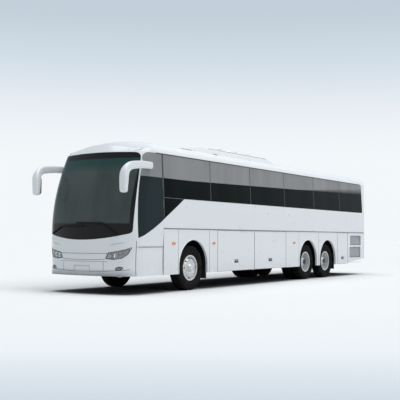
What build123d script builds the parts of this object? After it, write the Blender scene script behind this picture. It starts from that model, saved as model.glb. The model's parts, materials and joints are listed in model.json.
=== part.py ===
from build123d import *
import os
from math import asin, atan, atan2, cos, pi, radians, sin, sqrt

# A three-axle touring coach, built as its real pieces.  All sizes are in millimetres.
# +X points to the nose, +Y to the driver's side (left) and +Z up.  The road is z = 0, and x = 0 is
# midway between the mirror heads at the front and the tail.
# Stations written as "_at" are measured forward from the front axle.

os.makedirs("parts", exist_ok=True)

# ---------------------------------------------------------------- driving dimensions: lengths
wheelbase = 6280.0
tag_spacing = 1440.0
nose_overhang = 2518.0
tail_overhang = 3320.0
mirror_reach = 190.0
cab_joint_at = 1223.0
fascia_joint_at = 2127.0
tail_radius = 255.0

# heights
skirt_z = 400.0
waist_z = 1420.0
kink_z = 1950.0
sill_z = 2125.0
glass_top_z = 3108.0
cant_z = 3124.0
fascia_top_z = 1400.0
locker_top_z = 1030.0
saloon_floor_z = 1300.0
cab_floor_z = 940.0
hold_floor_z = 460.0
entry_step_z = (440.0, 690.0)

# widths
half_width = 1275.0
cant_half_width = 1213.0

# roof and walls
shoulder_radius = 240.0
crown_radius = 5000.0
wall = 55.0
floor_plate = 60.0
steel_plate = 40.0
liner_plate = 20.0

# gaps and clearances
panel_gap = 4.0
door_gap = 8.0
touch_gap = 0.3
glass_plate = 8.0
glass_joint = 10.0
glass_lap = 50.0

# nose: one row per level, with height, how far the nose stands ahead of the front axle, half width
# and corner radius
nose_levels = [
    (skirt_z, 2506.0, half_width, 500.0),
    (1250.0, nose_overhang, half_width, 500.0),
    (kink_z, 2460.0, half_width, 495.0),
    (2550.0, 2302.0, 1243.3, 480.0),
    (cant_z, 2058.0, cant_half_width, 460.0),
    (3600.0, 1786.0, 1188.0, 450.0),
]
nose_bow_radius = 3000.0
cap_edge_at = 2058.0
cap_lean = radians(55)

# ---------------------------------------------------------------- stations worked out from them
front_axle_x = (wheelbase + tag_spacing + tail_overhang - nose_overhang - mirror_reach) / 2
drive_axle_x = front_axle_x - wheelbase
tag_axle_x = drive_axle_x - tag_spacing
nose_x = front_axle_x + nose_overhang
tail_x = tag_axle_x - tail_overhang
cab_joint_x = front_axle_x + cab_joint_at
fascia_joint_x = front_axle_x + fascia_joint_at
tail_joint_x = tail_x + tail_radius + 5

wall_lean = atan((half_width - cant_half_width) / (cant_z - kink_z))
shoulder_y = cant_half_width - shoulder_radius * cos(wall_lean)
shoulder_z = cant_z - shoulder_radius * sin(wall_lean)
crown_centre_z = shoulder_z - sqrt((crown_radius - shoulder_radius) ** 2 - shoulder_y**2)
crown_z = crown_centre_z + crown_radius
crown_end_angle = atan2(shoulder_z - crown_centre_z, shoulder_y)

SIDES = (("left", 1), ("right", -1))


def at(ahead):
    """Station measured forward from the front axle."""
    return front_axle_x + ahead


def write(piece, label):
    """Label a finished sub-part and write it to its own STEP file."""
    part = piece.part if isinstance(piece, BuildPart) else piece
    part.label = label
    export_step(part, f"parts/{label}.step")


def apart(pieces):
    """Pieces that don't touch, kept as solids of one sub-part."""
    return Compound([solid for piece in pieces for solid in piece.solids()])


def block(x0, x1, y0, y1, z0, z1):
    """A box between two corners, in any order."""
    with BuildPart() as box:
        with Locations(((x0 + x1) / 2, (y0 + y1) / 2, (z0 + z1) / 2)):
            Box(abs(x1 - x0), abs(y1 - y0), abs(z1 - z0))
    return box.part


def kept(piece, region):
    """What a piece and a region have in common."""
    with BuildPart() as common:
        add(piece)
        add(region, mode=Mode.INTERSECT)
    return common.part


def skin(outer, inner):
    """What is left of a form once an inner form is taken out."""
    with BuildPart() as layer:
        add(outer)
        add(inner, mode=Mode.SUBTRACT)
    return layer.part


def mirrored(piece):
    """The same piece on the other side of the coach."""
    return mirror(piece, about=Plane.XZ, mode=Mode.PRIVATE)


def side_prism(sketch, side):
    """Run a side-view sketch (drawn on XZ) outward from the centre plane to one side."""
    with BuildPart() as prism:
        add(sketch)
        extrude(amount=half_width + 200, dir=(0, side, 0))
    return prism.part


def front_prism(sketch, depth):
    """Run a front-view sketch (drawn on YZ at the mirror plane) back by depth."""
    with BuildPart() as prism:
        add(sketch)
        extrude(amount=depth, dir=(-1, 0, 0))
    return prism.part


front_view = Plane((nose_x + 100, 0, 0), x_dir=(0, 1, 0), z_dir=(1, 0, 0))


# ---------------------------------------------------------------- outer form of the body
def section_face(inset, x, flare=0.0):
    """Cross-section of the body taken in by inset: upright and leaning side, shoulder and crown.

    flare swings the sides outward, so that the section trims only shoulder and crown.
    """
    low_y = half_width - inset + flare
    cant_y = cant_half_width - inset * cos(wall_lean)
    cant_top = cant_z - inset * sin(wall_lean)
    crown_r = crown_radius - inset
    shoulder_r = shoulder_radius - inset
    join_y = crown_r * cos(crown_end_angle)
    join_z = crown_centre_z + crown_r * sin(crown_end_angle)
    middle = (crown_end_angle + wall_lean) / 2
    mid_y = shoulder_y + shoulder_r * cos(middle)
    mid_z = shoulder_z + shoulder_r * sin(middle)
    with BuildSketch(Plane.YZ.offset(x)) as face:
        with BuildLine():
            Polyline((-cant_y, cant_top), (-low_y, kink_z), (-low_y, skirt_z), (low_y, skirt_z),
                     (low_y, kink_z), (cant_y, cant_top))
            ThreePointArc((cant_y, cant_top), (mid_y, mid_z), (join_y, join_z))
            ThreePointArc((join_y, join_z), (0, crown_centre_z + crown_r), (-join_y, join_z))
            ThreePointArc((-join_y, join_z), (-mid_y, mid_z), (-cant_y, cant_top))
        make_face()
    return face.sketch


tail_rise_at = -8970.0
tail_skirt_z = 573.0


def saloon_form(inset):
    """The straight part of the body behind the cab joint, taken in by inset, open below."""
    end_x = tail_x + inset
    top = crown_z - inset
    bend = tail_radius - inset
    rise_x = at(tail_rise_at)
    end_low = tail_skirt_z - (tail_skirt_z - skirt_z) * (end_x - tail_x) / (rise_x - tail_x)
    with BuildPart() as form:
        add(section_face(inset, end_x))
        extrude(amount=cab_joint_x - end_x, dir=(1, 0, 0))
        with BuildSketch(Plane.XZ):
            with BuildLine():
                Polyline((end_x + bend, top + 1), (cab_joint_x, top + 1), (cab_joint_x, skirt_z),
                         (rise_x, skirt_z), (end_x, end_low), (end_x, top + 1 - bend))
                RadiusArc((end_x, top + 1 - bend), (end_x + bend, top + 1), bend)
            make_face()
        extrude(amount=half_width + 50, both=True, mode=Mode.INTERSECT)
        with BuildSketch(Plane.XY.offset(skirt_z)) as plan:
            with Locations(((end_x + cab_joint_x) / 2, 0)):
                Rectangle(cab_joint_x - end_x, 2 * (half_width - inset))
            fillet(plan.vertices().group_by(Axis.X)[0], radius=tail_radius - inset)
        extrude(amount=crown_z, mode=Mode.INTERSECT)
    return form.part


def nose_outline(front, half, corner, back):
    """Plan of the cab at one level: straight sides, corner arcs and the bowed nose."""
    bow = nose_bow_radius
    bow_x = front - bow
    corner_y = half - corner
    corner_x = bow_x + sqrt((bow - corner) ** 2 - corner_y**2)
    turn = atan2(corner_y, corner_x - bow_x)
    meet = (bow_x + bow * cos(turn), bow * sin(turn))
    middle = (turn + pi / 2) / 2
    mid = (corner_x + corner * cos(middle), corner_y + corner * sin(middle))
    with BuildLine() as outline:
        Line((back, -half), (corner_x, -half))
        ThreePointArc((corner_x, -half), (mid[0], -mid[1]), (meet[0], -meet[1]))
        ThreePointArc((meet[0], -meet[1]), (front, 0), meet)
        ThreePointArc(meet, mid, (corner_x, half))
        Line((corner_x, half), (back, half))
        Line((back, half), (back, -half))
    return outline.line


def cab_form(inset):
    """The cab ahead of the cab joint, taken in by inset, open below and behind.

    A loft through the nose levels gives sides, corners and the raked screen.  The section run
    forward trims shoulder and crown, and a revolved cap rolls the roof over to the screen.
    """
    with BuildPart() as form:
        for z, ahead, half, corner in nose_levels:
            with BuildSketch(Plane.XY.offset(z)):
                add(nose_outline(at(ahead) - inset, half - inset, corner - inset,
                                 cab_joint_x))
                make_face()
        loft()
    with BuildPart() as trim:
        add(section_face(inset, cab_joint_x, flare=60))
        extrude(amount=nose_x - cab_joint_x + 50, dir=(1, 0, 0))
    axis_x = nose_x - nose_bow_radius
    top = crown_z - inset
    edge = (at(cap_edge_at) - inset * sin(cap_lean), cant_z - inset * cos(cap_lean))
    roll = (top - edge[1]) / (1 - cos(cap_lean))
    start = (edge[0] - roll * sin(cap_lean), top)
    mid = (start[0] + roll * sin(cap_lean / 2), top - roll * (1 - cos(cap_lean / 2)))
    reach = 1200.0
    foot = (edge[0] + reach * cos(cap_lean), edge[1] - reach * sin(cap_lean))
    with BuildPart() as cap:
        with BuildSketch(Plane.XZ):
            with BuildLine():
                Polyline((axis_x, skirt_z), (axis_x, top), start)
                ThreePointArc(start, mid, edge)
                Polyline(edge, foot, (foot[0], skirt_z), (axis_x, skirt_z))
            make_face()
        revolve(axis=Axis((axis_x, 0, 0), (0, 0, 1)), revolution_arc=360)
    with BuildPart() as shape:
        add(form.part)
        add(trim.part, mode=Mode.INTERSECT)
        add(cap.part, mode=Mode.INTERSECT)
    return shape.part


saloon_outer = saloon_form(0)
cab_outer = cab_form(0)


saloon_shell = skin(saloon_outer, saloon_form(wall))
cab_shell = skin(cab_outer, cab_form(wall))
saloon_core = saloon_form(glass_plate + touch_gap)
cab_core = cab_form(glass_plate + touch_gap)
saloon_glass = skin(saloon_outer, saloon_form(glass_plate))
cab_glass = skin(cab_outer, cab_form(glass_plate))

# ---------------------------------------------------------------- side glazing, in side view
pane_pitch = 1985.0
pane_count = 6
quarter_at = 400.0
quarter_foot_at = 1241.0
quarter_foot_z = 1629.0
driver_foot_at = 2090.0
driver_foot_z = 1222.0
pillar_mid_at = 2062.0
pillar_mid_z = 2120.0
pillar_top_at = 1836.0
pillar_top_z = 2900.0
band_front_at = 1690.0
band_corner = 80.0
window_post = 90.0
door_glass_sill_z = 2640.0

band_rear_x = cab_joint_x - pane_count * pane_pitch


def band_face(shrink, low_front=True):
    """Side view of the glazed band, drawn in by shrink on every side.

    low_front carries it down to the foot of the driver's window; without it the band stays level.
    """
    foot = (at(driver_foot_at) - shrink, driver_foot_z + 1.2 * shrink)
    knee = (at(quarter_foot_at), quarter_foot_z + 1.2 * shrink)
    quarter = (at(quarter_at) - 0.5 * shrink, sill_z + shrink)
    rear = band_rear_x + shrink
    top = glass_top_z - shrink
    middle = (at(pillar_mid_at) - shrink, pillar_mid_z)
    crest = (at(pillar_top_at) - shrink, pillar_top_z)
    head = (at(band_front_at) - shrink, top)
    bend = (crest[0] - 35, top - 60)
    with BuildSketch(Plane.XZ) as face:
        with BuildLine():
            if low_front:
                Polyline((rear, top), (rear, sill_z + shrink), quarter, knee)
                slope_mid = ((knee[0] + foot[0]) / 2, (knee[1] + foot[1]) / 2 - 25)
                ThreePointArc(knee, slope_mid, foot)
                ThreePointArc(foot, middle, crest)
            else:
                level = door_glass_sill_z + shrink
                side_x = at(1943.0) - shrink
                Polyline((rear, top), (rear, sill_z + shrink),
                         (cab_joint_x + shrink, sill_z + shrink), (cab_joint_x + shrink, level),
                         (side_x, level), crest)
            ThreePointArc(crest, bend, head)
            Line(head, (rear, top))
        make_face()
        fillet(face.vertices().group_by(Axis.X)[0], radius=band_corner)
    return face.sketch


def pane_limits(index):
    """Front and rear x of one side pane, ahead of its joint."""
    front = cab_joint_x - index * pane_pitch - glass_joint / 2
    rear = cab_joint_x - (index + 1) * pane_pitch + glass_joint / 2
    return front, rear


# ---------------------------------------------------------------- lower panels and flaps
wheel_arch_half = 602.0
wheel_arch_top_z = 1180.0
sole_bar_y = 1160.0
sole_bar_top_z = 1450.0
hinge_tongue = 120.0
hinge_tongue_deep = 20.0

# one row per lower panel: name, front and rear joint ahead of the front axle, sides on which it is
# a top-hinged flap
tail_joint_at = tail_joint_x - front_axle_x
lower_panels = [
    ("cab_quarter", cab_joint_at, 634.0, ()),
    ("front_arch", 634.0, -689.0, ()),
    ("front_filler", -689.0, -1064.0, ()),
    ("luggage_door_front", -1064.0, -2931.0, ("left", "right")),
    ("luggage_door_rear", -2931.0, -4787.0, ("left", "right")),
    ("rear_filler", -4787.0, -5626.0, ()),
    ("drive_arch", -5626.0, -7009.0, ()),
    ("tag_arch", -7009.0, -8478.0, ()),
    ("service_door", -8478.0, -9343.0, ("left",)),
    ("radiator_door", -9343.0, tail_joint_at, ("left",)),
]

# the two louvred openings of the radiator door: front, rear, low and high edge
louvre_windows = [
    (-9573.0, -10480.0, 1021.0, 1326.0),
    (-9518.0, -10450.0, 606.0, 948.0),
]
louvre_pitch = 38.0
louvre_blade = 12.0
louvre_frame = 14.0


def arch_prism(side):
    """The three wheel arches of one side: round heads on straight jambs."""
    rise = wheel_arch_top_z - wheel_arch_half
    with BuildPart() as arches:
        with BuildSketch(Plane.XZ):
            for axle_x in (front_axle_x, drive_axle_x, tag_axle_x):
                with Locations((axle_x, rise)):
                    Circle(wheel_arch_half)
                with Locations((axle_x, rise / 2)):
                    Rectangle(2 * wheel_arch_half, rise)
        extrude(amount=half_width + 50, dir=(0, side, 0))
    return arches.part


def hinge_tongues(front, rear, side, axis_z, outer_y=half_width):
    """Hinge leaves along a flap's top edge, reaching up to the hinge line at its outer face."""
    span = front - rear
    count = 3 if span > 1200 else 2
    with BuildPart() as leaves:
        for step in range(count):
            x = rear + span * (step + 0.5) / count
            with Locations((x, side * (outer_y - hinge_tongue_deep / 2),
                            axis_z - (touch_gap + door_gap + 1) / 2)):
                Box(hinge_tongue, hinge_tongue_deep, door_gap + 1 - touch_gap)
    return leaves.part


def louvres(side, depth):
    """Openings of the radiator door and the blades that stand in them."""
    with BuildPart() as openings:
        for front_at, rear_at, low, high in louvre_windows:
            add(block(at(rear_at), at(front_at),
                      side * (half_width + 10), side * (half_width - depth - 10), low, high))
    with BuildPart() as blades:
        for front_at, rear_at, low, high in louvre_windows:
            count = round((high - low) / louvre_pitch)
            for step in range(1, count):
                z = low + (high - low) * step / count
                add(block(at(rear_at), at(front_at),
                          side * (half_width - 4), side * (half_width - depth),
                          z - louvre_blade / 2, z + louvre_blade / 2))
    return openings.part, blades.part


with BuildPart() as side_panels:
    for name, side in SIDES:
        arches = arch_prism(side)
        for label, front_at, rear_at, flap_sides in lower_panels:
            if name not in flap_sides:
                front = at(front_at) - panel_gap / 2
                rear = at(rear_at) + panel_gap / 2
                panel = kept(saloon_shell, block(rear, front, 0, side * 1400, 0, waist_z))
                add(skin(panel, arches))
write(side_panels, "side_panels")

for name, side in SIDES:
    for label, front_at, rear_at, flap_sides in lower_panels:
        if name in flap_sides:
            front = at(front_at) - door_gap / 2
            rear = at(rear_at) + door_gap / 2
            with BuildPart() as flap:
                add(kept(saloon_shell, block(rear, front, 0, side * 1400, 0, waist_z - door_gap)))
                add(hinge_tongues(front, rear, side, waist_z))
                if label == "radiator_door":
                    openings, blades = louvres(side, louvre_frame + 20)
                    add(openings, mode=Mode.SUBTRACT)
                    add(blades)
            write(flap, f"{label}_{name}")

# ---------------------------------------------------------------- side walls and side glass
windscreen_corner = 90.0
windscreen_top_corner = 130.0
windscreen_half_low = 1166.0
windscreen_half_mid = 1178.0
windscreen_half_top = 1085.0
windscreen_low_z = 1178.0
windscreen_low_side_z = 1326.0
windscreen_mid_z = 1900.0
windscreen_top_z = 3120.0
windscreen_top_side_z = 3096.0
windscreen_depth = 900.0
header_half = 1000.0
header_low_z = 3000.0


def windscreen_face(shrink):
    """Front view of the windscreen drawn in by shrink: a dipped sill and rounded corners."""
    low = (windscreen_half_low - shrink, windscreen_low_side_z + shrink)
    high = (windscreen_half_top - shrink, windscreen_top_side_z - shrink)
    middle = (windscreen_half_mid - shrink, windscreen_mid_z)
    with BuildSketch(front_view) as face:
        with BuildLine():
            ThreePointArc((-low[0], low[1]), (0, windscreen_low_z + shrink), low)
            ThreePointArc(low, middle, high)
            ThreePointArc(high, (0, windscreen_top_z - shrink), (-high[0], high[1]))
            ThreePointArc((-high[0], high[1]), (-middle[0], middle[1]), (-low[0], low[1]))
        make_face()
        fillet(face.vertices().group_by(Axis.Y)[0], radius=windscreen_corner)
        fillet(face.vertices().group_by(Axis.Y)[-1], radius=windscreen_top_corner)
    return face.sketch


screen_prism = front_prism(windscreen_face(0), windscreen_depth)
screen_pocket = skin(front_prism(windscreen_face(-1), windscreen_depth), cab_core)
screen_opening = front_prism(windscreen_face(glass_lap), windscreen_depth)

with BuildPart() as windscreen:
    add(kept(cab_glass, screen_prism))
write(windscreen, "windscreen")

cab_band_rear_x = cab_joint_x + glass_joint / 2


def side_wall(side, wide_band):
    """One side of the saloon from waist to roof, with its window openings and sole bar."""
    with BuildPart() as piece:
        add(saloon_shell)
        add(block(tail_joint_x, cab_joint_x - panel_gap, 0, side * 1400, waist_z, cant_z),
            mode=Mode.INTERSECT)
        add(skin(kept(wide_band, block(tail_x, cab_joint_x, 0, side * 1400, 0, crown_z)),
                 saloon_core), mode=Mode.SUBTRACT)
        for index in range(pane_count):
            front, rear = pane_limits(index)
            with BuildSketch(Plane.XZ):
                with Locations(((front + rear) / 2, (sill_z + glass_top_z) / 2)):
                    RectangleRounded(front - rear - window_post,
                                     glass_top_z - sill_z - 2 * glass_lap, band_corner)
            extrude(amount=half_width * 2, dir=(0, side, 0), mode=Mode.SUBTRACT)
        sole_rear = tail_joint_x + 200
        sole_front = at(800)
        add(block(sole_rear, sole_front, side * sole_bar_y, side * (half_width - wall),
                  waist_z, sole_bar_top_z))
        add(block(sole_rear, sole_front, side * sole_bar_y,
                  side * (half_width - wall - door_gap), saloon_floor_z, waist_z))
    return piece.part


def side_panes(side, band, low_front):
    """The panes of one side; low_front adds the quarter panel under the first one."""
    sheet = kept(saloon_glass, band)
    with BuildPart() as panes:
        for index in range(pane_count):
            front, rear = pane_limits(index)
            low = sill_z + glass_joint / 4 if index == 0 else sill_z - 100
            add(kept(sheet, block(rear, front, 0, side * 1400, low, cant_z)))
        if low_front:
            add(kept(sheet, block(cab_joint_x - pane_pitch, cab_joint_x - glass_joint / 2,
                                  0, side * 1400, skirt_z, sill_z - glass_joint / 4)))
        add(kept(kept(cab_glass, band), block(cab_band_rear_x, nose_x, 0, side * 1400,
                                              skirt_z, cant_z)))
    return panes.part


band_pockets = {}
band_openings = {}
wall_pieces = []
pane_pieces = []
for name, side in SIDES:
    low_front = side > 0
    wide_band = side_prism(band_face(-1.0, low_front), side)
    band_pockets[name] = skin(kept(wide_band, block(cab_joint_x, nose_x, 0, side * 1500, 0, crown_z)),
                              cab_core)
    band_openings[name] = kept(side_prism(band_face(glass_lap, low_front), side),
                               block(cab_joint_x + window_post / 2, nose_x,
                                     0, side * 1500, skirt_z, crown_z))
    wall_pieces.append(side_wall(side, wide_band))
    pane_pieces.append(side_panes(side, side_prism(band_face(0.0, low_front), side), low_front))

side_walls = apart(wall_pieces)
write(side_walls, "side_walls")

with BuildPart() as waist_mouldings:
    for name, side in SIDES:
        add(block(tail_joint_x, cab_joint_x - panel_gap, side * half_width,
                  side * (half_width + 6), waist_z + 4, waist_z + 26))
write(waist_mouldings, "waist_mouldings")

# ---------------------------------------------------------------- roof
with BuildPart() as roof:
    add(kept(saloon_shell, block(tail_x, cab_joint_x - panel_gap, -1400, 1400, cant_z, crown_z + 9)))
write(roof, "roof")

# the strip over the windscreen belongs to the roof cap
header_space = block(at(1700), nose_x, -header_half, header_half, header_low_z, crown_z)
with BuildPart() as front_roof:
    add(kept(cab_shell, block(cab_joint_x, nose_x, -1400, 1400, cant_z, crown_z + 9)))
    add(kept(cab_shell, header_space))
    add(screen_pocket, mode=Mode.SUBTRACT)
    add(screen_opening, mode=Mode.SUBTRACT)
write(front_roof, "front_roof")

unit_front_at = -760.0
unit_rise_at = -1750.0
unit_fall_at = -4150.0
unit_rear_at = -4850.0
unit_half_width = 820.0
unit_height = 140.0
unit_edge_radius = 90.0

with BuildPart() as roof_unit:
    with BuildSketch(Plane.XZ):
        with BuildLine():
            top = crown_z + unit_height
            clear = top + 5
            front = at(unit_front_at)
            rise = at(unit_rise_at)
            fall = at(unit_fall_at)
            rear = at(unit_rear_at)
            Polyline((rise, clear), (fall, clear), (rear, crown_z - 40))
            Polyline((rear, crown_z - 40), (rear, crown_z - 300), (front, crown_z - 300),
                     (front, crown_z - 40))
            ThreePointArc((front, crown_z - 40), ((front + rise) / 2 - 60, top - 48), (rise, clear))
        make_face()
    extrude(amount=unit_half_width, both=True)
    with BuildSketch(Plane.YZ.offset(at(unit_rear_at))) as span:
        with BuildLine():
            side_top = top - unit_half_width**2 / (2 * crown_radius)
            ThreePointArc((-unit_half_width, side_top), (0, top), (unit_half_width, side_top))
            Polyline((unit_half_width, side_top), (unit_half_width, crown_z - 300),
                     (-unit_half_width, crown_z - 300), (-unit_half_width, side_top))
        make_face()
        fillet(span.vertices().group_by(Axis.Y)[-1], radius=unit_edge_radius)
    extrude(amount=unit_front_at - unit_rear_at, dir=(1, 0, 0), mode=Mode.INTERSECT)
    add(saloon_form(-touch_gap), mode=Mode.SUBTRACT)
write(roof_unit, "roof_unit")

# ---------------------------------------------------------------- tail
rear_window_half = 985.0
rear_window_low_z = 2140.0
rear_window_high_z = 3020.0
lid_half = 930.0
lid_low_z = 700.0
lid_high_z = 1650.0
lid_corner = 40.0
tail_lamp_low_z = 1010.0
tail_lamp_high_z = 1733.0
tail_lamp_inner_y = 1105.0
tail_lamp_front = 150.0
lamp_depth = 40.0


def tail_face(half, low, high, corner):
    """A rounded opening in the flat of the tail, run forward through the wall."""
    with BuildPart() as prism:
        with BuildSketch(Plane.YZ.offset(tail_x - 50)):
            with Locations((0, (low + high) / 2)):
                RectangleRounded(2 * half, high - low, corner)
        extrude(amount=200, dir=(1, 0, 0))
    return prism.part


tail_lamp_blocks = [block(tail_x, tail_x + tail_lamp_front, side * tail_lamp_inner_y, side * 1400,
                          tail_lamp_low_z, tail_lamp_high_z) for name, side in SIDES]
with BuildPart() as rear_wall:
    add(kept(saloon_shell, block(tail_x, tail_joint_x - panel_gap, -1400, 1400, 0, cant_z)))
    add(skin(tail_face(rear_window_half + 1, rear_window_low_z - 1, rear_window_high_z + 1,
                       band_corner), saloon_core), mode=Mode.SUBTRACT)
    add(tail_face(rear_window_half - glass_lap, rear_window_low_z + glass_lap,
                  rear_window_high_z - glass_lap, band_corner), mode=Mode.SUBTRACT)
    add(tail_face(lid_half, lid_low_z, lid_high_z, lid_corner), mode=Mode.SUBTRACT)
    for lamp in tail_lamp_blocks:
        add(lamp, mode=Mode.SUBTRACT)
write(rear_wall, "rear_wall")

with BuildPart() as side_and_rear_glass:
    for piece in pane_pieces:
        add(piece)
    add(kept(saloon_glass, tail_face(rear_window_half, rear_window_low_z, rear_window_high_z,
                                     band_corner)))
write(side_and_rear_glass, "side_and_rear_glass")

with BuildPart() as tail_lamps:
    lamp_layer = skin(saloon_outer, saloon_form(lamp_depth))
    for name, side in SIDES:
        add(kept(lamp_layer, block(tail_x, tail_x + tail_lamp_front - touch_gap,
                                   side * (tail_lamp_inner_y + touch_gap), side * 1400,
                                   tail_lamp_low_z + touch_gap, tail_lamp_high_z - touch_gap)))
write(tail_lamps, "tail_lamps")

with BuildPart() as engine_lid:
    add(kept(saloon_shell, tail_face(lid_half - door_gap, lid_low_z + door_gap,
                                     lid_high_z - door_gap, lid_corner)))
    for side in (-1, 0, 1):
        with Locations((tail_x + hinge_tongue_deep / 2, side * lid_half * 0.7,
                        lid_high_z - (touch_gap + door_gap + 1) / 2)):
            Box(hinge_tongue_deep, hinge_tongue, door_gap + 1 - touch_gap)
write(engine_lid, "engine_lid")

# ---------------------------------------------------------------- nose: lamps, grille and fascia
headlamp_depth = 40.0
headlamp_outline = [(620, 775), (690, 905), (900, 938), (1050, 972), (1160, 1022), (1092, 868),
                    (985, 785), (800, 758)]
headlamp_corner = 22.0
fog_lamp_y = 925.0
fog_lamp_z = 565.0
fog_lamp_long = 150.0
fog_lamp_high = 62.0
fog_lamp_slant = 9.0
grille_outline = [(-598, 762), (-664, 890), (664, 890), (598, 762)]
grille_low_z = 745.0
grille_top_z = 882.0
grille_seat = 8.0
plate_half = 215.0
plate_low_z = 496.0
plate_high_z = 620.0


def headlamp_face(grow, side):
    """Front view of one headlamp, grown by grow."""
    with BuildSketch(front_view) as face:
        with BuildLine():
            Polyline(*[(side * y, z) for y, z in headlamp_outline], close=True)
        make_face()
        fillet(face.vertices(), radius=headlamp_corner)
        offset(amount=grow, kind=Kind.ARC)
    return face.sketch


def fog_lamp_face(grow, side):
    """Front view of one fog lamp: a slanted slot."""
    with BuildSketch(front_view) as face:
        with Locations((side * fog_lamp_y, fog_lamp_z)):
            SlotOverall(fog_lamp_long + 2 * grow, fog_lamp_high + 2 * grow,
                        rotation=side * fog_lamp_slant)
    return face.sketch


def grille_face(grow):
    """Front view of the grille panel between the headlamps, bowed along top and foot."""
    low_left, top_left, top_right, low_right = grille_outline
    with BuildSketch(front_view) as face:
        with BuildLine():
            Line(low_left, top_left)
            ThreePointArc(top_left, (0, grille_top_z), top_right)
            Line(top_right, low_right)
            ThreePointArc(low_right, (0, grille_low_z), low_left)
        make_face()
        offset(amount=grow, kind=Kind.ARC)
    return face.sketch


nose_depth = 700.0
cover_thick = 5.0
reflector_front = 10.0
bowl_floor = 34.0
bulb_share = 0.42
# lamp units: distance from the centre plane, height and bowl radius
headlamp_bowls = [(728.0, 833.0, 50.0), (862.0, 850.0, 56.0), (984.0, 885.0, 46.0), (1078.0, 938.0, 30.0)]
fog_bowls = [(886.0, 559.0, 23.0), (958.0, 570.0, 23.0)]

reflector_form = cab_form(reflector_front)
cover_back = cab_form(cover_thick)
lamp_back = cab_form(headlamp_depth)


def nose_plane(y, z):
    """The plane that touches the lower nose y to the left of the centre plane, facing out."""
    (low_z, low_ahead, half, corner), (high_z, high_ahead) = nose_levels[0], nose_levels[1][:2]
    front = low_ahead + (high_ahead - low_ahead) * (z - low_z) / (high_z - low_z)
    corner_y = half - corner
    corner_ahead = front - nose_bow_radius + sqrt((nose_bow_radius - corner) ** 2 - corner_y**2)
    turn = asin(y / nose_bow_radius)
    ahead = front - nose_bow_radius * (1 - cos(turn))
    if ahead < corner_ahead + corner * cos(turn):
        turn = asin((y - corner_y) / corner)
        ahead = corner_ahead + corner * cos(turn)
    return Plane((at(ahead), y, z), x_dir=(0, 0, 1), z_dir=(cos(turn), sin(turn), 0))


def lamp(face, bowls):
    """One lamp on the left side: a clear cover, and behind it a reflector unit with round bowls."""
    prism = front_prism(face, nose_depth)
    with BuildPart() as reflector:
        add(kept(reflector_form, prism))
        add(lamp_back, mode=Mode.SUBTRACT)
        for y, z, bowl_radius in bowls:
            with BuildSketch(nose_plane(y, z).offset(-bowl_floor)):
                Circle(bowl_radius)
                Circle(bowl_radius * bulb_share, mode=Mode.SUBTRACT)
            extrude(amount=2 * bowl_floor, mode=Mode.SUBTRACT)
    return [skin(kept(cab_outer, prism), cover_back), reflector.part]


left_lamps = lamp(headlamp_face(-touch_gap, 1), headlamp_bowls)
left_lamps += lamp(fog_lamp_face(-touch_gap, 1), fog_bowls)
front_lamps = apart(left_lamps + [mirrored(piece) for piece in left_lamps])
write(front_lamps, "front_lamps")

seat_form = cab_form(grille_seat)
with BuildPart() as front_grille:
    add(kept(seat_form, front_prism(grille_face(-touch_gap), nose_depth)))
    add(lamp_back, mode=Mode.SUBTRACT)
write(front_grille, "front_grille")

with BuildPart() as front_fascia:
    add(kept(cab_shell, block(fascia_joint_x + panel_gap / 2, nose_x + 50, -1400, 1400, 0,
                              fascia_top_z)))
    add(screen_pocket, mode=Mode.SUBTRACT)
    add(screen_opening, mode=Mode.SUBTRACT)
    add(front_prism(grille_face(0), nose_depth), mode=Mode.SUBTRACT)
    for name, side in SIDES:
        add(front_prism(headlamp_face(0, side), nose_depth), mode=Mode.SUBTRACT)
        add(front_prism(fog_lamp_face(0, side), nose_depth), mode=Mode.SUBTRACT)
    add(skin(block(fascia_joint_x, nose_x + 50, -plate_half, plate_half,
                   plate_low_z, plate_high_z), seat_form), mode=Mode.SUBTRACT)
write(front_fascia, "front_fascia")

# ---------------------------------------------------------------- cab sides, locker and entry door
door_rear_at = 1252.0
door_front_at = 2096.0
door_head_z = 2600.0
door_window_low_z = 900.0
door_window_frame = 95.0
pillar_foot_z = 1222.0
pillar_head_at = 1950.0
door_rear_x = at(door_rear_at)


def entry_face(shrink, low):
    """Side view of the entry, drawn in by shrink; its front edge follows the pillar's curve."""
    rear = at(door_rear_at) + shrink
    head = door_head_z - shrink
    with BuildSketch(Plane.XZ) as face:
        with BuildLine():
            Polyline((at(door_front_at) - shrink, pillar_foot_z), (at(door_front_at) - shrink, low),
                     (rear, low), (rear, head), (at(pillar_head_at) - shrink, head))
            ThreePointArc((at(pillar_head_at) - shrink, head),
                          (at(pillar_mid_at) - shrink, pillar_mid_z),
                          (at(door_front_at) - shrink, pillar_foot_z))
        make_face()
    return face.sketch


fascia_space = block(fascia_joint_x, nose_x + 100, -1400, 1400, 0, fascia_top_z)
door_spaces = {
    "left": block(cab_joint_x + panel_gap, fascia_joint_x + panel_gap, 0, 1400, 0, locker_top_z),
    "right": side_prism(entry_face(0, 0), -1),
}
with BuildPart() as plain_cab_side:
    add(kept(cab_shell, block(cab_joint_x, nose_x + 100, 0, 1400, 0, cant_z)))
    for tool in (fascia_space, header_space, screen_pocket, screen_opening):
        add(tool, mode=Mode.SUBTRACT)


def cab_side(name, side):
    """One side of the cab, with its window band and its door or locker cut out."""
    with BuildPart() as piece:
        add(plain_cab_side.part if side > 0 else mirrored(plain_cab_side.part))
        for tool in (band_pockets[name], band_openings[name], door_spaces[name]):
            add(tool, mode=Mode.SUBTRACT)
    return piece.part


cab_sides = apart([cab_side(name, side) for name, side in SIDES])
write(cab_sides, "cab_sides")

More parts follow.
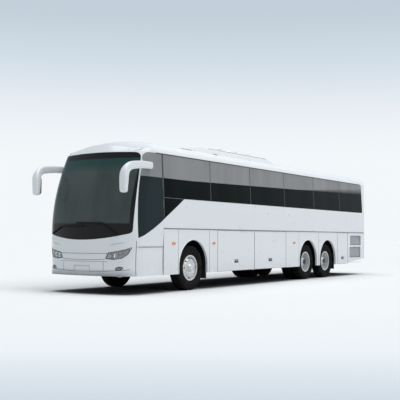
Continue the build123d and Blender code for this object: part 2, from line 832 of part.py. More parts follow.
with BuildPart() as locker_door_left:
    rear = cab_joint_x + panel_gap + door_gap
    front = fascia_joint_x + panel_gap / 2 - door_gap
    add(kept(cab_shell, block(rear, front, 0, 1400, 0, locker_top_z - door_gap)))
    add(hinge_tongues(front - 330, rear, 1, locker_top_z))
write(locker_door_left, "locker_door_left")

leaf_gap = 10.0
arm_reach = 450.0
arm_pivot_at = 1990.0
arm_pivot_y = 1100.0
arm_heights = (700.0, 2300.0)
arm_thickness = 30.0
arm_width = 50.0
post_radius = 22.0
leaf_pin_radius = 12.0
leaf_ear = 20.0
leaf_ear_gap = 15.0
arm_pivot_x = at(arm_pivot_at)
leaf_pin_x = arm_pivot_x - arm_reach


def entry_glass_prism(grow):
    """Side view of the entry door's window, grown by grow and run outward to the right."""
    with BuildSketch(Plane.XZ) as face:
        add(entry_face(leaf_gap + door_window_frame - grow, door_window_low_z - grow))
        fillet(face.vertices(), radius=band_corner)
    return side_prism(face.sketch, -1)


with BuildPart() as entry_door:
    add(kept(cab_shell, side_prism(entry_face(leaf_gap, skirt_z), -1)))
    add(skin(entry_glass_prism(touch_gap), cab_core), mode=Mode.SUBTRACT)
    add(entry_glass_prism(-glass_lap / 2), mode=Mode.SUBTRACT)
    for z in arm_heights:
        for step in (-1, 1):
            ear_z = z + step * (arm_thickness / 2 + leaf_ear_gap + leaf_ear / 2)
            add(block(leaf_pin_x - 20, leaf_pin_x + 20, -arm_pivot_y + 20, -(half_width - wall + 1),
                      ear_z - leaf_ear / 2, ear_z + leaf_ear / 2))
        with Locations((leaf_pin_x, -arm_pivot_y, z)):
            Cylinder(leaf_pin_radius, arm_thickness + 2 * leaf_ear_gap + 2)
write(entry_door, "entry_door")

with BuildPart() as entry_door_glass:
    add(kept(cab_glass, entry_glass_prism(0)))
write(entry_door_glass, "entry_door_glass")

with BuildPart() as door_arms:
    post_low = entry_step_z[0] + touch_gap
    post_high = arm_heights[1] + arm_thickness
    with Locations((arm_pivot_x, -arm_pivot_y, (post_low + post_high) / 2)):
        Cylinder(post_radius, post_high - post_low)
    for z in arm_heights:
        with BuildSketch(Plane.XY.offset(z - arm_thickness / 2)):
            with Locations(((arm_pivot_x + leaf_pin_x) / 2, -arm_pivot_y)):
                SlotCenterToCenter(arm_reach, arm_width)
            with Locations((leaf_pin_x, -arm_pivot_y)):
                Circle(leaf_pin_radius + touch_gap, mode=Mode.SUBTRACT)
        extrude(amount=arm_thickness)
write(door_arms, "door_arms")

# ---------------------------------------------------------------- floors and entry steps
saloon_front_at = 850.0
cab_floor_front_at = 2180.0
entry_step_inner_y = (920.0, 640.0)
entry_step_deep = 290.0
aisle_step_at = 1130.0
aisle_half = 240.0
floor_half = half_width - wall - door_gap
well_rear_x = door_rear_x - 2 * door_gap

cab_room = cab_form(wall + door_gap)
with BuildPart() as room:
    add(saloon_form(wall + door_gap))
    add(kept(cab_form(wall + touch_gap), block(cab_joint_x, nose_x, 0, 1400, 0, crown_z)))
    add(kept(cab_room, block(cab_joint_x, nose_x, 0, -1400, 0, crown_z)))



aisle_step_z = (cab_floor_z + saloon_floor_z) / 2
riser_x = at(saloon_front_at) - steel_plate
cab_deck_z = cab_floor_z - steel_plate
tread_front_x = at(cab_floor_front_at)
low_step, high_step = entry_step_z
low_inner_y, high_inner_y = entry_step_inner_y
# floor plates: rear and front, right and left, low and high
floor_boxes = [
    (tail_x, at(saloon_front_at), -floor_half, floor_half, saloon_floor_z - floor_plate, saloon_floor_z),
    (riser_x, at(saloon_front_at), -floor_half, floor_half, cab_deck_z,
     saloon_floor_z - floor_plate - touch_gap),
    (at(saloon_front_at) + touch_gap, well_rear_x, -floor_half, 1400, cab_deck_z, cab_floor_z),
    (well_rear_x + touch_gap, tread_front_x, -high_inner_y, 1400, cab_deck_z, cab_floor_z),
    (at(saloon_front_at) + touch_gap, at(aisle_step_at), -aisle_half, aisle_half,
     cab_floor_z + touch_gap, aisle_step_z),
    (well_rear_x - steel_plate, well_rear_x, -floor_half, -high_inner_y,
     low_step - liner_plate, cab_deck_z - touch_gap),
]
for z, inner_y, rise_to in ((low_step, low_inner_y, high_step - liner_plate - touch_gap),
                            (high_step, high_inner_y, cab_floor_z)):
    floor_boxes.append((well_rear_x + touch_gap, tread_front_x, -inner_y - entry_step_deep, -inner_y,
                        z - liner_plate, z))
    floor_boxes.append((well_rear_x + touch_gap, tread_front_x, -inner_y - liner_plate,
                        -inner_y - touch_gap, z + touch_gap, rise_to))
floor = apart([kept(block(*corners), room.part) for corners in floor_boxes])
write(floor, "floor")

# ---------------------------------------------------------------- underframe and wheel housings
rail_inner_y = 420.0
rail_outer_y = 500.0
rail_low_z = 760.0
rail_high_z = 880.0
tow_bore_radius = 20.0
front_tow_at = 2250.0
rear_tow_x = tail_x + 140.0
tow_y = (rail_inner_y + rail_outer_y) / 2
hold_front_at = -1040.0
hold_rear_at = -4830.0
engine_wall_at = -8500.0
hold_half = 1210.0
tow_plate_thick = 30.0
frame_front_at = 2100.0

engine_wall_low_z = 620.0
tow_plate_long = 200.0
cross_rear_at = 1460.0
cross_front_at = 1540.0
cross_left_y = 1000.0
hanger_thick = 60.0
front_tow_low = 410.0
rear_tow_low = 590.0
tow_reach = 50.0
hold_rear_face = at(hold_rear_at)
hold_front_face = at(hold_front_at)
engine_wall_x = at(engine_wall_at)
frame_end_x = rear_tow_x - 40
hanger_x = at(frame_front_at) - 20
deck_under_z = saloon_floor_z - floor_plate - touch_gap

# rails: rear and front
rail_runs = [
    (hold_front_face + touch_gap, hanger_x - touch_gap),
    (engine_wall_x + touch_gap, hold_rear_face - touch_gap),
    (frame_end_x, engine_wall_x - steel_plate - touch_gap),
]
# other members: rear and front, right and left, low and high
frame_boxes = [(rear, front, side * rail_inner_y, side * rail_outer_y, rail_low_z, rail_high_z)
               for rear, front in rail_runs for side in (1, -1)]
frame_boxes += [
    (at(cross_rear_at), at(cross_front_at), -rail_outer_y, cross_left_y,
     rail_high_z + touch_gap, cab_deck_z - touch_gap),
    (hold_front_face - steel_plate, hold_front_face, -hold_half, hold_half,
     hold_floor_z - steel_plate, deck_under_z),
    (hold_rear_face, hold_rear_face + steel_plate, -hold_half, hold_half,
     hold_floor_z - steel_plate, deck_under_z),
    (engine_wall_x - steel_plate, engine_wall_x, -hold_half, hold_half, engine_wall_low_z, deck_under_z),
    (hold_rear_face + steel_plate + touch_gap, hold_front_face - steel_plate - touch_gap,
     -hold_half, hold_half, hold_floor_z - steel_plate, hold_floor_z),
    (hanger_x, hanger_x + hanger_thick, rail_inner_y, rail_outer_y, front_tow_low, rail_high_z),
    (frame_end_x + tow_plate_long - steel_plate, frame_end_x + tow_plate_long,
     rail_inner_y, rail_outer_y, rear_tow_low, rail_low_z - touch_gap),
]
# towing plates: rear and front, low edge, pin station
tow_plates = [
    (hanger_x + hanger_thick + touch_gap, at(front_tow_at) + tow_reach, front_tow_low, at(front_tow_at)),
    (frame_end_x, frame_end_x + tow_plate_long - steel_plate - touch_gap, rear_tow_low, rear_tow_x),
]
bored_plates = []
for rear, front, low, pin_x in tow_plates:
    with BuildPart() as tow_plate:
        add(block(rear, front, rail_inner_y, rail_outer_y, low, low + tow_plate_thick))
        with Locations((pin_x, tow_y, low + tow_plate_thick / 2)):
            Cylinder(tow_bore_radius, tow_plate_thick + 2, mode=Mode.SUBTRACT)
    bored_plates.append(tow_plate.part)
underframe = apart([block(*corners) for corners in frame_boxes] + bored_plates)
write(underframe, "underframe")

housing_inner_y = 525.0
housing_outer_y = half_width - wall - touch_gap
housing_top_z = saloon_floor_z - floor_plate
housing_low_z = 410.0
axle_slot_half = 130.0
axle_slot_top_z = 800.0
mudflap_low_z = 250.0

# wheel housings: front and rear station, axles that pass through
housings = [(660.0, -660.0, (front_axle_x,)), (-5620.0, -8370.0, (drive_axle_x, tag_axle_x))]

def wheel_housing(front_at, rear_at, axle_stations):
    """One wheel housing of the left side: a box open below and outward, with its mudflap."""
    front, rear = at(front_at), at(rear_at)
    with BuildPart() as housing:
        add(block(rear, front, housing_inner_y, housing_outer_y, housing_low_z, housing_top_z))
        add(block(rear + liner_plate, front - liner_plate, housing_inner_y + liner_plate,
                  1400, 0, housing_top_z - liner_plate), mode=Mode.SUBTRACT)
        for axle_x in axle_stations:
            add(block(axle_x - axle_slot_half, axle_x + axle_slot_half, 0, 700,
                      0, axle_slot_top_z), mode=Mode.SUBTRACT)
        add(block(rear, rear + liner_plate, 900, 1200, mudflap_low_z, housing_low_z))
    return housing.part


left_housings = [wheel_housing(*row) for row in housings]
wheel_housings = apart(left_housings + [mirrored(housing) for housing in left_housings])
write(wheel_housings, "wheel_housings")

# ---------------------------------------------------------------- running gear
axle_z = 525.0
bellows_y = 400.0
bellows_radius = 110.0
front_pad_z = 520.0
rear_pad_z = 620.0
pad_thick = 40.0
kingpin_y = 900.0
kingpin_radius = 24.0
beam_half = 45.0
beam_reach = 850.0
beam_low_z = 445.0
eye_radius = 55.0
eye_low_z = 440.0
eye_high_z = 610.0
knuckle_arm = 40.0
knuckle_gap = 5.0
spindle_radius = 40.0
spindle_long = 188.0
knuckle_plate = 25.0
rear_tube_radius = 80.0
rear_spindle_radius = 60.0
rear_tube_half = 785.0
rear_spindle_half = 1070.0
drive_ball_radius = 220.0

with BuildPart() as suspension:
    for axle_x, pad_z in ((front_axle_x, front_pad_z), (drive_axle_x, rear_pad_z),
                          (tag_axle_x, rear_pad_z)):
        for side in (1, -1):
            with Locations((axle_x, side * bellows_y, (pad_z + rail_low_z) / 2)):
                Cylinder(bellows_radius, rail_low_z - pad_z)
write(suspension, "suspension")

engine_rear_x = tail_x + 150
engine_long = 1400.0
engine_half = rail_inner_y - touch_gap
engine_low_z = 600.0
engine_high_z = 1180.0
with BuildPart() as engine:
    add(block(engine_rear_x, engine_rear_x + engine_long, -engine_half, engine_half,
              engine_low_z, engine_high_z))
write(engine, "engine")

with BuildPart() as axles:
    add(block(front_axle_x - beam_half, at(beam_half), -beam_reach, beam_reach,
              beam_low_z, front_pad_z))
    for side in (1, -1):
        with Locations((front_axle_x, side * bellows_y, front_pad_z - pad_thick / 2)):
            Box(2 * bellows_radius, 2 * bellows_radius, pad_thick)
        with Locations((front_axle_x, side * kingpin_y, (eye_low_z + eye_high_z) / 2)):
            Cylinder(eye_radius, eye_high_z - eye_low_z)
        with Locations((front_axle_x, side * kingpin_y, axle_z)):
            Cylinder(kingpin_radius + touch_gap, axle_z, mode=Mode.SUBTRACT)
    for axle_x in (drive_axle_x, tag_axle_x):
        with Locations(Location((axle_x, 0, axle_z), (90, 0, 0))):
            Cylinder(rear_tube_radius, 2 * rear_tube_half)
            Cylinder(rear_spindle_radius, 2 * rear_spindle_half)
        for side in (1, -1):
            with Locations((axle_x, side * bellows_y, (rear_pad_z + axle_z) / 2)):
                Box(2 * bellows_radius, 2 * bellows_radius, rear_pad_z - axle_z)
    with Locations((drive_axle_x, 0, axle_z)):
        Sphere(drive_ball_radius)
write(axles, "axles")

for name, side in SIDES:
    plate_y = kingpin_y + eye_radius + knuckle_gap
    arm_low = eye_low_z - knuckle_gap
    arm_high = eye_high_z + knuckle_gap
    with BuildPart() as knuckle:
        with Locations((front_axle_x, side * kingpin_y, (arm_low + arm_high) / 2)):
            Cylinder(kingpin_radius, arm_high - arm_low + knuckle_arm)
        for low in (arm_low - knuckle_arm, arm_high):
            add(block(front_axle_x - beam_half, at(beam_half), side * (kingpin_y - knuckle_arm),
                      side * (plate_y + knuckle_plate), low, low + knuckle_arm))
        add(block(front_axle_x - eye_radius, at(eye_radius), side * plate_y,
                  side * (plate_y + knuckle_plate), arm_low - knuckle_arm, arm_high + knuckle_arm))
        with Locations(Location((front_axle_x, side * (plate_y + spindle_long / 2), axle_z),
                                (90, 0, 0))):
            Cylinder(spindle_radius, spindle_long)
    write(knuckle, f"knuckle_{name}")

# ---------------------------------------------------------------- wheels and tyres
tyre_radius = 525.0
tyre_bore = 286.3
outer_tyre_y = 1057.0
inner_tyre_y = 727.0

# turned profiles: rows are distance outboard of the outer tyre's middle, and radius
rim_flange = [(118, 272), (118, 300), (106, 300), (100, 286), (-100, 286), (-106, 300), (-118, 300)]
wheel_profiles = {
    "front": [(-60, 40.3), (100, 40.3), (100, 0), (150, 0), (150, 70), (125, 95), (112, 95),
              (112, 172), (108, 205), (60, 262), (60, 272)] + rim_flange
             + [(-118, 272), (40, 272), (44, 258), (92, 200), (96, 172), (96, 110), (-60, 110)],
    "drive": [(-260, 60.3), (20, 60.3), (20, 0), (75, 0), (75, 100), (40, 120), (-151, 120),
              (-151, 185), (-95, 250), (-95, 272)] + rim_flange
             + [(-118, 262), (-165, 196), (-212, 262), (-212, 300), (-224, 300), (-230, 286),
                (-430, 286), (-436, 300), (-448, 300), (-448, 272), (-235, 272), (-235, 250),
                (-179, 185), (-179, 120), (-260, 120)],
    "tag": [(-260, 60.3), (20, 60.3), (20, 0), (75, 0), (75, 100), (40, 120), (-151, 120),
            (-151, 185), (-95, 250), (-95, 272)] + rim_flange
           + [(-118, 262), (-165, 196), (-165, 120), (-260, 120)],
}
hand_hole_radius = 27.0
hand_hole_circle = {"front": 228.0, "drive": 217.0, "tag": 217.0}
hand_holes = 8
tyre_profile = [(100, tyre_bore), (147.5, 400), (112, tyre_radius), (-112, tyre_radius),
                (-147.5, 400), (-100, tyre_bore)]
tyre_rows = {"front": (outer_tyre_y,), "drive": (outer_tyre_y, inner_tyre_y), "tag": (outer_tyre_y,)}
wheel_axles = {"front": front_axle_x, "drive": drive_axle_x, "tag": tag_axle_x}


def turned(profile, axle_x, middle_y, side):
    """A profile turned about an axle, its outboard side away from the centre plane."""
    with BuildPart() as ring:
        with BuildSketch(Plane((axle_x, 0, axle_z), x_dir=(0, side, 0), z_dir=(side, 0, 0))):
            with BuildLine():
                Polyline(*[(middle_y + out, radius) for out, radius in profile], close=True)
            make_face()
        revolve(axis=Axis((axle_x, 0, axle_z), (0, 1, 0)))
    return ring.part


for place, axle_x in wheel_axles.items():
    for name, side in SIDES:
        with BuildPart() as wheel:
            add(turned(wheel_profiles[place], axle_x, outer_tyre_y, side))
            with Locations(Location((axle_x, side * (outer_tyre_y - 60), axle_z), (90, 0, 0))):
                with PolarLocations(hand_hole_circle[place], hand_holes):
                    Cylinder(hand_hole_radius, 420, mode=Mode.SUBTRACT)
        write(wheel, f"wheel_{place}_{name}")
        with BuildPart() as tyre:
            for middle_y in tyre_rows[place]:
                add(turned(tyre_profile, axle_x, middle_y, side))
        write(tyre, f"tyre_{place}_{name}")

# ---------------------------------------------------------------- seats, dashboard and steering
seat_rows = 14
seat_pitch = 800.0
first_seat_at = 620.0
bench_inner_y = 255.0
bench_outer_y = 1155.0
driver_seat_at = 1500.0
driver_y = 600.0
driver_half = 240.0

# seat in side view: rows are distance back from the cushion's front edge, and height above the floor
seat_profile = [(80, 0), (80, 300), (0, 300), (0, 440), (430, 430), (520, 1150), (610, 1150),
                (560, 300), (400, 300), (400, 0)]


def seat(front_x, inner_y, outer_y, foot_z):
    """One seat or bench: pedestal, cushion and leaning back."""
    with BuildPart() as piece:
        with BuildSketch(Plane.XZ):
            with BuildLine():
                Polyline(*[(front_x - back, foot_z + up) for back, up in seat_profile], close=True)
            make_face()
        extrude(amount=outer_y - inner_y, dir=(0, 1, 0))
    return Pos(0, inner_y, 0) * piece.part


with BuildPart() as seats:
    for row in range(seat_rows):
        front_x = at(first_seat_at - row * seat_pitch)
        add(seat(front_x, bench_inner_y, bench_outer_y, saloon_floor_z))
        add(seat(front_x, -bench_outer_y, -bench_inner_y, saloon_floor_z))
    add(seat(at(driver_seat_at), driver_y - driver_half, driver_y + driver_half, cab_floor_z))
write(seats, "seats")

column_lean = radians(65)
steering_wheel_x = at(1600.0)
steering_wheel_z = 1640.0
steering_radius = 225.0
column_axis = (-cos(column_lean), 0, sin(column_lean))
hub_depth = 60.0

# dashboard in side view: station ahead of the front axle, and height
dashboard_profile = [(1900, cab_floor_z), (1900, 1130), (1840, 1230), (1870, 1400), (2000, 1480),
                     (2460, 1440), (2460, cab_floor_z)]
column_plane = Plane((steering_wheel_x, driver_y, steering_wheel_z), x_dir=(0, 1, 0),
                     z_dir=column_axis)
with BuildPart() as dashboard:
    with BuildSketch(Plane.XZ.offset(350)):
        with BuildLine():
            Polyline(*[(at(ahead), z) for ahead, z in dashboard_profile], close=True)
        make_face()
    extrude(amount=1550, dir=(0, 1, 0))
    add(cab_room, mode=Mode.INTERSECT)
    with BuildSketch(column_plane.offset(-hub_depth / 2 - touch_gap)):
        Circle(32)
    extrude(amount=steering_wheel_z - cab_floor_z, dir=tuple(-c for c in column_axis))
write(dashboard, "dashboard")

with BuildPart() as steering_wheel:
    with Locations(column_plane):
        Cylinder(45, hub_depth)
        Box(2 * steering_radius - 10, 40, 12)
        with Locations((0, -steering_radius / 2, 0)):
            Box(40, steering_radius - 10, 12)
    rim_plane = Plane(column_plane.origin, x_dir=(0, 1, 0), z_dir=(cos(pi / 2 - column_lean), 0,
                                                                   sin(pi / 2 - column_lean)))
    with BuildSketch(rim_plane):
        with Locations((steering_radius, 0)):
            RegularPolygon(16, 8)
    revolve(axis=Axis(column_plane.origin, column_plane.z_dir))
write(steering_wheel, "steering_wheel")

# ---------------------------------------------------------------- mirrors, wipers and marker lamps
mirror_front_x = nose_x + mirror_reach
mirror_deep = 150.0
mirror_wide = 210.0
mirror_high = 560.0
mirror_y = 1258.0
mirror_z = 2430.0
mirror_arm_inner_y = 1238.0
mirror_arm_thick = 64.0
mirror_base_at = 1716.0
mirror_base_z = 2835.0
mirror_base_radius = 52.0

# mirror arm in side view: station ahead of the front axle, and height
mirror_arm_outline = [(1655, 2782), (1655, 2888), (2420, 2926), (2570, 2890), (2690, 2780),
                      (2690, 2640), (2580, 2640), (2570, 2740), (2400, 2800)]

with BuildPart() as left_mirror:
    with BuildSketch(Plane.XZ):
        with BuildLine():
            Polyline(*[(at(ahead), z) for ahead, z in mirror_arm_outline], close=True)
        make_face()
    extrude(amount=mirror_arm_inner_y + mirror_arm_thick, dir=(0, 1, 0))
    add(block(at(1600), mirror_front_x, 0, mirror_arm_inner_y, 2500, 3000), mode=Mode.SUBTRACT)
    fillet(left_mirror.edges().filter_by(Axis.Y), radius=38)
    with Locations(Location((at(mirror_base_at), mirror_arm_inner_y, mirror_base_z), (90, 0, 0))):
        Cylinder(mirror_base_radius, 120)
    add(cab_outer, mode=Mode.SUBTRACT)
    with BuildSketch(Plane((mirror_front_x - mirror_deep, mirror_y, mirror_z),
                           x_dir=(0, 1, 0), z_dir=(1, 0, 0))):
        RectangleRounded(mirror_wide, mirror_high, 55)
    extrude(amount=mirror_deep, taper=12)
mirrors = apart([left_mirror.part, mirrored(left_mirror.part)])
write(mirrors, "mirrors")

wiper_lift = 12.0
wiper_top = 26.0
wiper_arm_wide = 26.0
wiper_blade_wide = 30.0

# wipers in front view: spindle, elbow and blade end
wiper_points = [((897, 1298), (554, 1535), (-146, 1550)), ((-988, 1322), (-643, 1467), (65, 1486))]

wiper_outer = cab_form(-wiper_top)
wiper_layer = skin(wiper_outer, cab_outer)
arm_layer = skin(wiper_outer, cab_form(-wiper_lift))
with BuildPart() as wipers:
    for spindle, elbow, tip in wiper_points:
        with BuildSketch(front_view) as arm_face:
            with BuildLine():
                Line(spindle, elbow)
            trace(line_width=wiper_arm_wide)
        add(kept(arm_layer, front_prism(arm_face.sketch, nose_depth)))
        with BuildSketch(front_view) as blade_face:
            with BuildLine():
                Line(elbow, tip)
            trace(line_width=wiper_blade_wide)
        add(kept(wiper_layer, front_prism(blade_face.sketch, nose_depth)))
        with BuildSketch(front_view) as spindle_face:
            with Locations(spindle):
                Circle(wiper_arm_wide / 2 + 4)
        add(kept(wiper_layer, front_prism(spindle_face.sketch, nose_depth)))
write(wipers, "wipers")

marker_long = 60.0
marker_high = 30.0
marker_stand = 6.0
marker_places = [(834.0, 1112.0), (-880.0, 1097.0), (-5301.0, 1098.0)]
with BuildPart() as marker_lamps:
    for name, side in SIDES:
        for ahead, z in marker_places:
            add(block(at(ahead) - marker_long / 2, at(ahead) + marker_long / 2, side * half_width,
                      side * (half_width + marker_stand), z - marker_high / 2, z + marker_high / 2))
write(marker_lamps, "marker_lamps")
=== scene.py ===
import bpy
import bmesh
import json
import numpy as np
from math import cos, pi, radians, sin
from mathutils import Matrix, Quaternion, Vector
from mathutils.bvhtree import BVHTree

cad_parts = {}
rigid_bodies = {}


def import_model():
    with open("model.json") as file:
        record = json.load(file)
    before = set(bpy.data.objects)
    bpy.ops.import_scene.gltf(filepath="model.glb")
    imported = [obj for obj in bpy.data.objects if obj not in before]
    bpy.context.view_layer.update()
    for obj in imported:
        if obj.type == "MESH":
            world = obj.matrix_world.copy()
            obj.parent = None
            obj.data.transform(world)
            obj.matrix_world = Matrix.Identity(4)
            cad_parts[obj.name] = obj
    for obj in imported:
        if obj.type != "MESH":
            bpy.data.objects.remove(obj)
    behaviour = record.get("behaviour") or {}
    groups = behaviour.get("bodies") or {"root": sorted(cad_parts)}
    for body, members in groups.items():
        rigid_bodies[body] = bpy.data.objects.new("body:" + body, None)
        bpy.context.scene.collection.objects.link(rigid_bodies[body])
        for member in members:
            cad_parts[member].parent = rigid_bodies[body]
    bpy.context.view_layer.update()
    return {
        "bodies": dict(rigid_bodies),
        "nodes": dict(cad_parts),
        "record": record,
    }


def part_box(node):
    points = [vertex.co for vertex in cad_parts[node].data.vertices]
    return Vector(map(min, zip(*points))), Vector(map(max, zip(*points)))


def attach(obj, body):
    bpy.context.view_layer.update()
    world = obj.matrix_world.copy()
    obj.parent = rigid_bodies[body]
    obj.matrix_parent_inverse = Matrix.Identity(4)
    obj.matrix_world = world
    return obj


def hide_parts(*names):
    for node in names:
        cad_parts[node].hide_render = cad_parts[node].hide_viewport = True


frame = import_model()
nodes = frame["nodes"]
scene = bpy.context.scene
scene.view_settings.view_transform = "Standard"

# ---------------------------------------------------------------- camera
# A long lens from a little over a metre off the ground, 20 m ahead of the coach and to its left.
view_way = Vector((-0.83705, -0.54507, 0.04734))
camera = bpy.data.cameras.new("camera")
camera.sensor_width = 36.0
camera.lens = 70.68
camera.clip_end = 900.0
camera_object = bpy.data.objects.new("camera", camera)
camera_object.location = (19.627, 11.507, 1.247)
camera_object.rotation_mode = "QUATERNION"
camera_roll = Quaternion((0.0, 0.0, 1.0), radians(0.35))
camera_object.rotation_quaternion = view_way.to_track_quat("-Z", "Y") @ camera_roll
scene.collection.objects.link(camera_object)
scene.camera = camera_object


# ---------------------------------------------------------------- frame, axles and engine
# Welded steel rails, cross members and beams in black chassis paint that is dusty and rubbed on its
# edges, rubber air bellows, and a grey cast-iron engine block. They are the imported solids, finished.
def new_node(tree, kind, inputs=(), **settings):
    """A new shader node: sockets are linked to its inputs, and plain values are set on them."""
    made = tree.nodes.new("ShaderNode" + kind)
    for key, value in settings.items():
        setattr(made, key, value)
    for key, value in dict(inputs).items():
        if isinstance(value, bpy.types.NodeSocket):
            tree.links.new(value, made.inputs[key])
        else:
            made.inputs[key].default_value = value
    return made


class Finish:
    """A material built from nodes, in the object's own coordinates, which are metres."""

    def __init__(self, name, colour, rough, metal=0.0, **sockets):
        self.material = bpy.data.materials.new(name)
        self.material.use_nodes = True
        self.tree = self.material.node_tree
        self.shader = self.tree.nodes["Principled BSDF"]
        self.place = self.tree.nodes.new("ShaderNodeTexCoord").outputs["Object"]
        self.base = colour
        self.set("Base Color", (*colour, 1.0))
        self.set("Roughness", rough)
        self.set("Metallic", metal)
        for socket, value in sockets.items():
            self.set(socket.replace("_", " "), value)
        self.normal = None

    def set(self, socket, value):
        """One value all over the surface, on the shader's own socket."""
        self.shader.inputs[socket].default_value = value

    def put(self, socket, source):
        """A pattern that drives a socket of the shader."""
        self.tree.links.new(source, self.shader.inputs[socket])

    def node(self, kind, inputs=(), **settings):
        """A new node in this material."""
        return new_node(self.tree, kind, inputs, **settings)

    def scaled(self, x, y, z):
        """The object's coordinates, each times its own factor."""
        return self.node("Mapping", {"Vector": self.place, "Scale": (x, y, z)}).outputs["Vector"]

    def noise(self, scale, detail=3.0, along=None):
        """Cloudy noise from 0 to 1, with scale cells to a metre."""
        return self.node("TexNoise", {"Vector": along or self.place, "Scale": scale,
                                      "Detail": detail}).outputs["Fac"]

    def waves(self, scale, direction):
        """Even bands across one axis."""
        return self.node("TexWave", {"Vector": self.place, "Scale": scale},
                         bands_direction=direction).outputs["Fac"]

    def axis(self, name):
        """The coordinate X, Y or Z in metres."""
        return self.node("SeparateXYZ", {"Vector": self.place}).outputs[name]

    def math(self, kind, a, b=0.0):
        """One sum of two values or sockets."""
        return self.node("Math", {0: a, 1: b}, operation=kind).outputs[0]

    def span(self, value, low, high, to_low=0.0, to_high=1.0):
        """Straight from to_low at low to to_high at high, and level past both."""
        return self.node("MapRange", {"Value": value, "From Min": low, "From Max": high,
                                      "To Min": to_low, "To Max": to_high}).outputs["Result"]

    def blend(self, factor, a, b):
        """Colour a where factor is 0, and b where it is 1."""
        made = self.node("Mix", {"Factor": factor}, data_type="RGBA")
        for key, value in (("A", a), ("B", b)):
            socket = next(s for s in made.inputs if s.name == key and s.type == "RGBA")
            if isinstance(value, bpy.types.NodeSocket):
                self.tree.links.new(value, socket)
            else:
                socket.default_value = (*value, 1.0)
        return next(s for s in made.outputs if s.type == "RGBA")

    def mottle(self, scale, dark=0.85, low=0.35, high=0.65):
        """The base colour, darker in soft patches."""
        return self.blend(self.span(self.noise(scale, 5.0), low, high),
                          tuple(c * dark for c in self.base), self.base)

    def uneven(self, scale, detail, smooth, rough):
        """Roughness that drifts with noise between two values."""
        self.put("Roughness", self.span(self.noise(scale, detail), 0.3, 0.7, smooth, rough))

    def bump(self, source, depth, strength=1.0):
        """Raise the surface by source times depth, over any relief it already has."""
        made = self.node("Bump", {"Height": source, "Distance": depth, "Strength": strength})
        if self.normal is not None:
            self.tree.links.new(self.normal, made.inputs["Normal"])
        self.normal = made.outputs["Normal"]
        self.put("Normal", self.normal)


def plain_finish(name, colour, rough, metal=0.0, scale=12.0, grain=0.0, wear=None, **sockets):
    """A finish with uneven tone and roughness; grain is the depth of its fine texture."""
    f = Finish(name, colour, rough, metal, **sockets)
    tone = f.mottle(scale, 0.8)
    if wear:
        edge = f.node("NewGeometry").outputs["Pointiness"]
        rubbed = f.math("MULTIPLY", f.span(edge, 0.53, 0.62), f.span(f.noise(25.0, 5.0), 0.4, 0.7))
        tone = f.blend(rubbed, tone, wear)
    f.put("Base Color", tone)
    f.uneven(scale * 2, 4.0, rough * 0.85, min(1.0, rough * 1.15))
    if grain:
        f.bump(f.noise(350.0, 2.0), grain, 0.6)
    return f.material


finishes = {}


def finish_nodes(slot, material):
    """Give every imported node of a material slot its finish, and keep it for new pieces."""
    finishes[slot] = material
    for part in frame["record"]["subparts"]:
        if part["material_slot"] == slot:
            materials = nodes[part["node"]].data.materials
            materials.clear()
            materials.append(material)


finish_nodes("chassis_steel", plain_finish("chassis_steel", (0.010, 0.010, 0.011), 0.7,
                                           wear=(0.06, 0.05, 0.045), Specular_IOR_Level=0.2))
finish_nodes("dark_steel", plain_finish("dark_steel", (0.02, 0.02, 0.022), 0.4, 0.3, wear=(0.2, 0.2, 0.2)))
finish_nodes("bellows_rubber", plain_finish("bellows_rubber", (0.012, 0.012, 0.012), 0.75, grain=0.0005))
finish_nodes("engine_iron", plain_finish("engine_iron", (0.06, 0.06, 0.065), 0.55, 0.5, grain=0.001))

# ---------------------------------------------------------------- tyres and wheels
# Tubeless tyres, 1.05 m across: radial ribs round the wall, three tread ribs and blocks cut along both
# shoulders. The discs are silver enamel, with chromed nuts, and a bolted cover stands on each hub.
front_axle_x, drive_axle_x, tag_axle_x, axle_z = 4.166, -2.114, -3.554, 0.525
tyre_y, inner_tyre_y = 1.057, 0.727
axles = {"front": front_axle_x, "drive": drive_axle_x, "tag": tag_axle_x}
# each side's name with its sign along Y, and the signs alone
SIDES = (("left", 1), ("right", -1))
HANDS = (1, -1)


def grid_faces(rows, columns, round_rows=False, round_columns=True):
    """Quads between neighbours of a grid numbered row by row; a round way joins its end to its start."""
    row = np.arange(rows if round_rows else rows - 1)[:, None]
    column = np.arange(columns if round_columns else columns - 1)[None, :]
    after, beside = (row + 1) % rows, (column + 1) % columns
    quads = np.stack([row * columns + column, row * columns + beside,
                      after * columns + beside, after * columns + column], axis=-1)
    return quads.reshape(-1, 4).tolist()


def skinned(rings, round_rows=False):
    """Closed rings, rows by points by 3, joined in order; the end rings are filled unless it is round."""
    rings = np.asarray(rings, dtype=float)
    rows, columns = rings.shape[:2]
    faces = grid_faces(rows, columns, round_rows)
    if not round_rows:
        faces += [list(range(columns))[::-1], list(range((rows - 1) * columns, rows * columns))]
    return rings.reshape(-1, 3), faces


def joined(shapes):
    """Several shapes as one: their points in a row, and each one's faces counted on from them."""
    shapes = list(shapes)
    starts = np.cumsum([0] + [len(points) for points, _ in shapes])
    faces = [[start + i for i in face] for start, (_, own) in zip(starts.tolist(), shapes) for face in own]
    return np.concatenate([points for points, _ in shapes]), faces


def repeated(shape, places, turns=None):
    """A shape at many places: point = turn times own point, plus the place."""
    points, faces = shape
    places = np.asarray(places, dtype=float)
    if turns is None:
        laid = points[None] + places[:, None]
    else:
        laid = np.einsum("kij,nj->kni", np.asarray(turns), points) + places[:, None]
    count = len(points)
    many = np.asarray(faces)[None] + (np.arange(len(places)) * count)[:, None, None]
    return laid.reshape(-1, 3), many.reshape(-1, len(faces[0])).tolist()


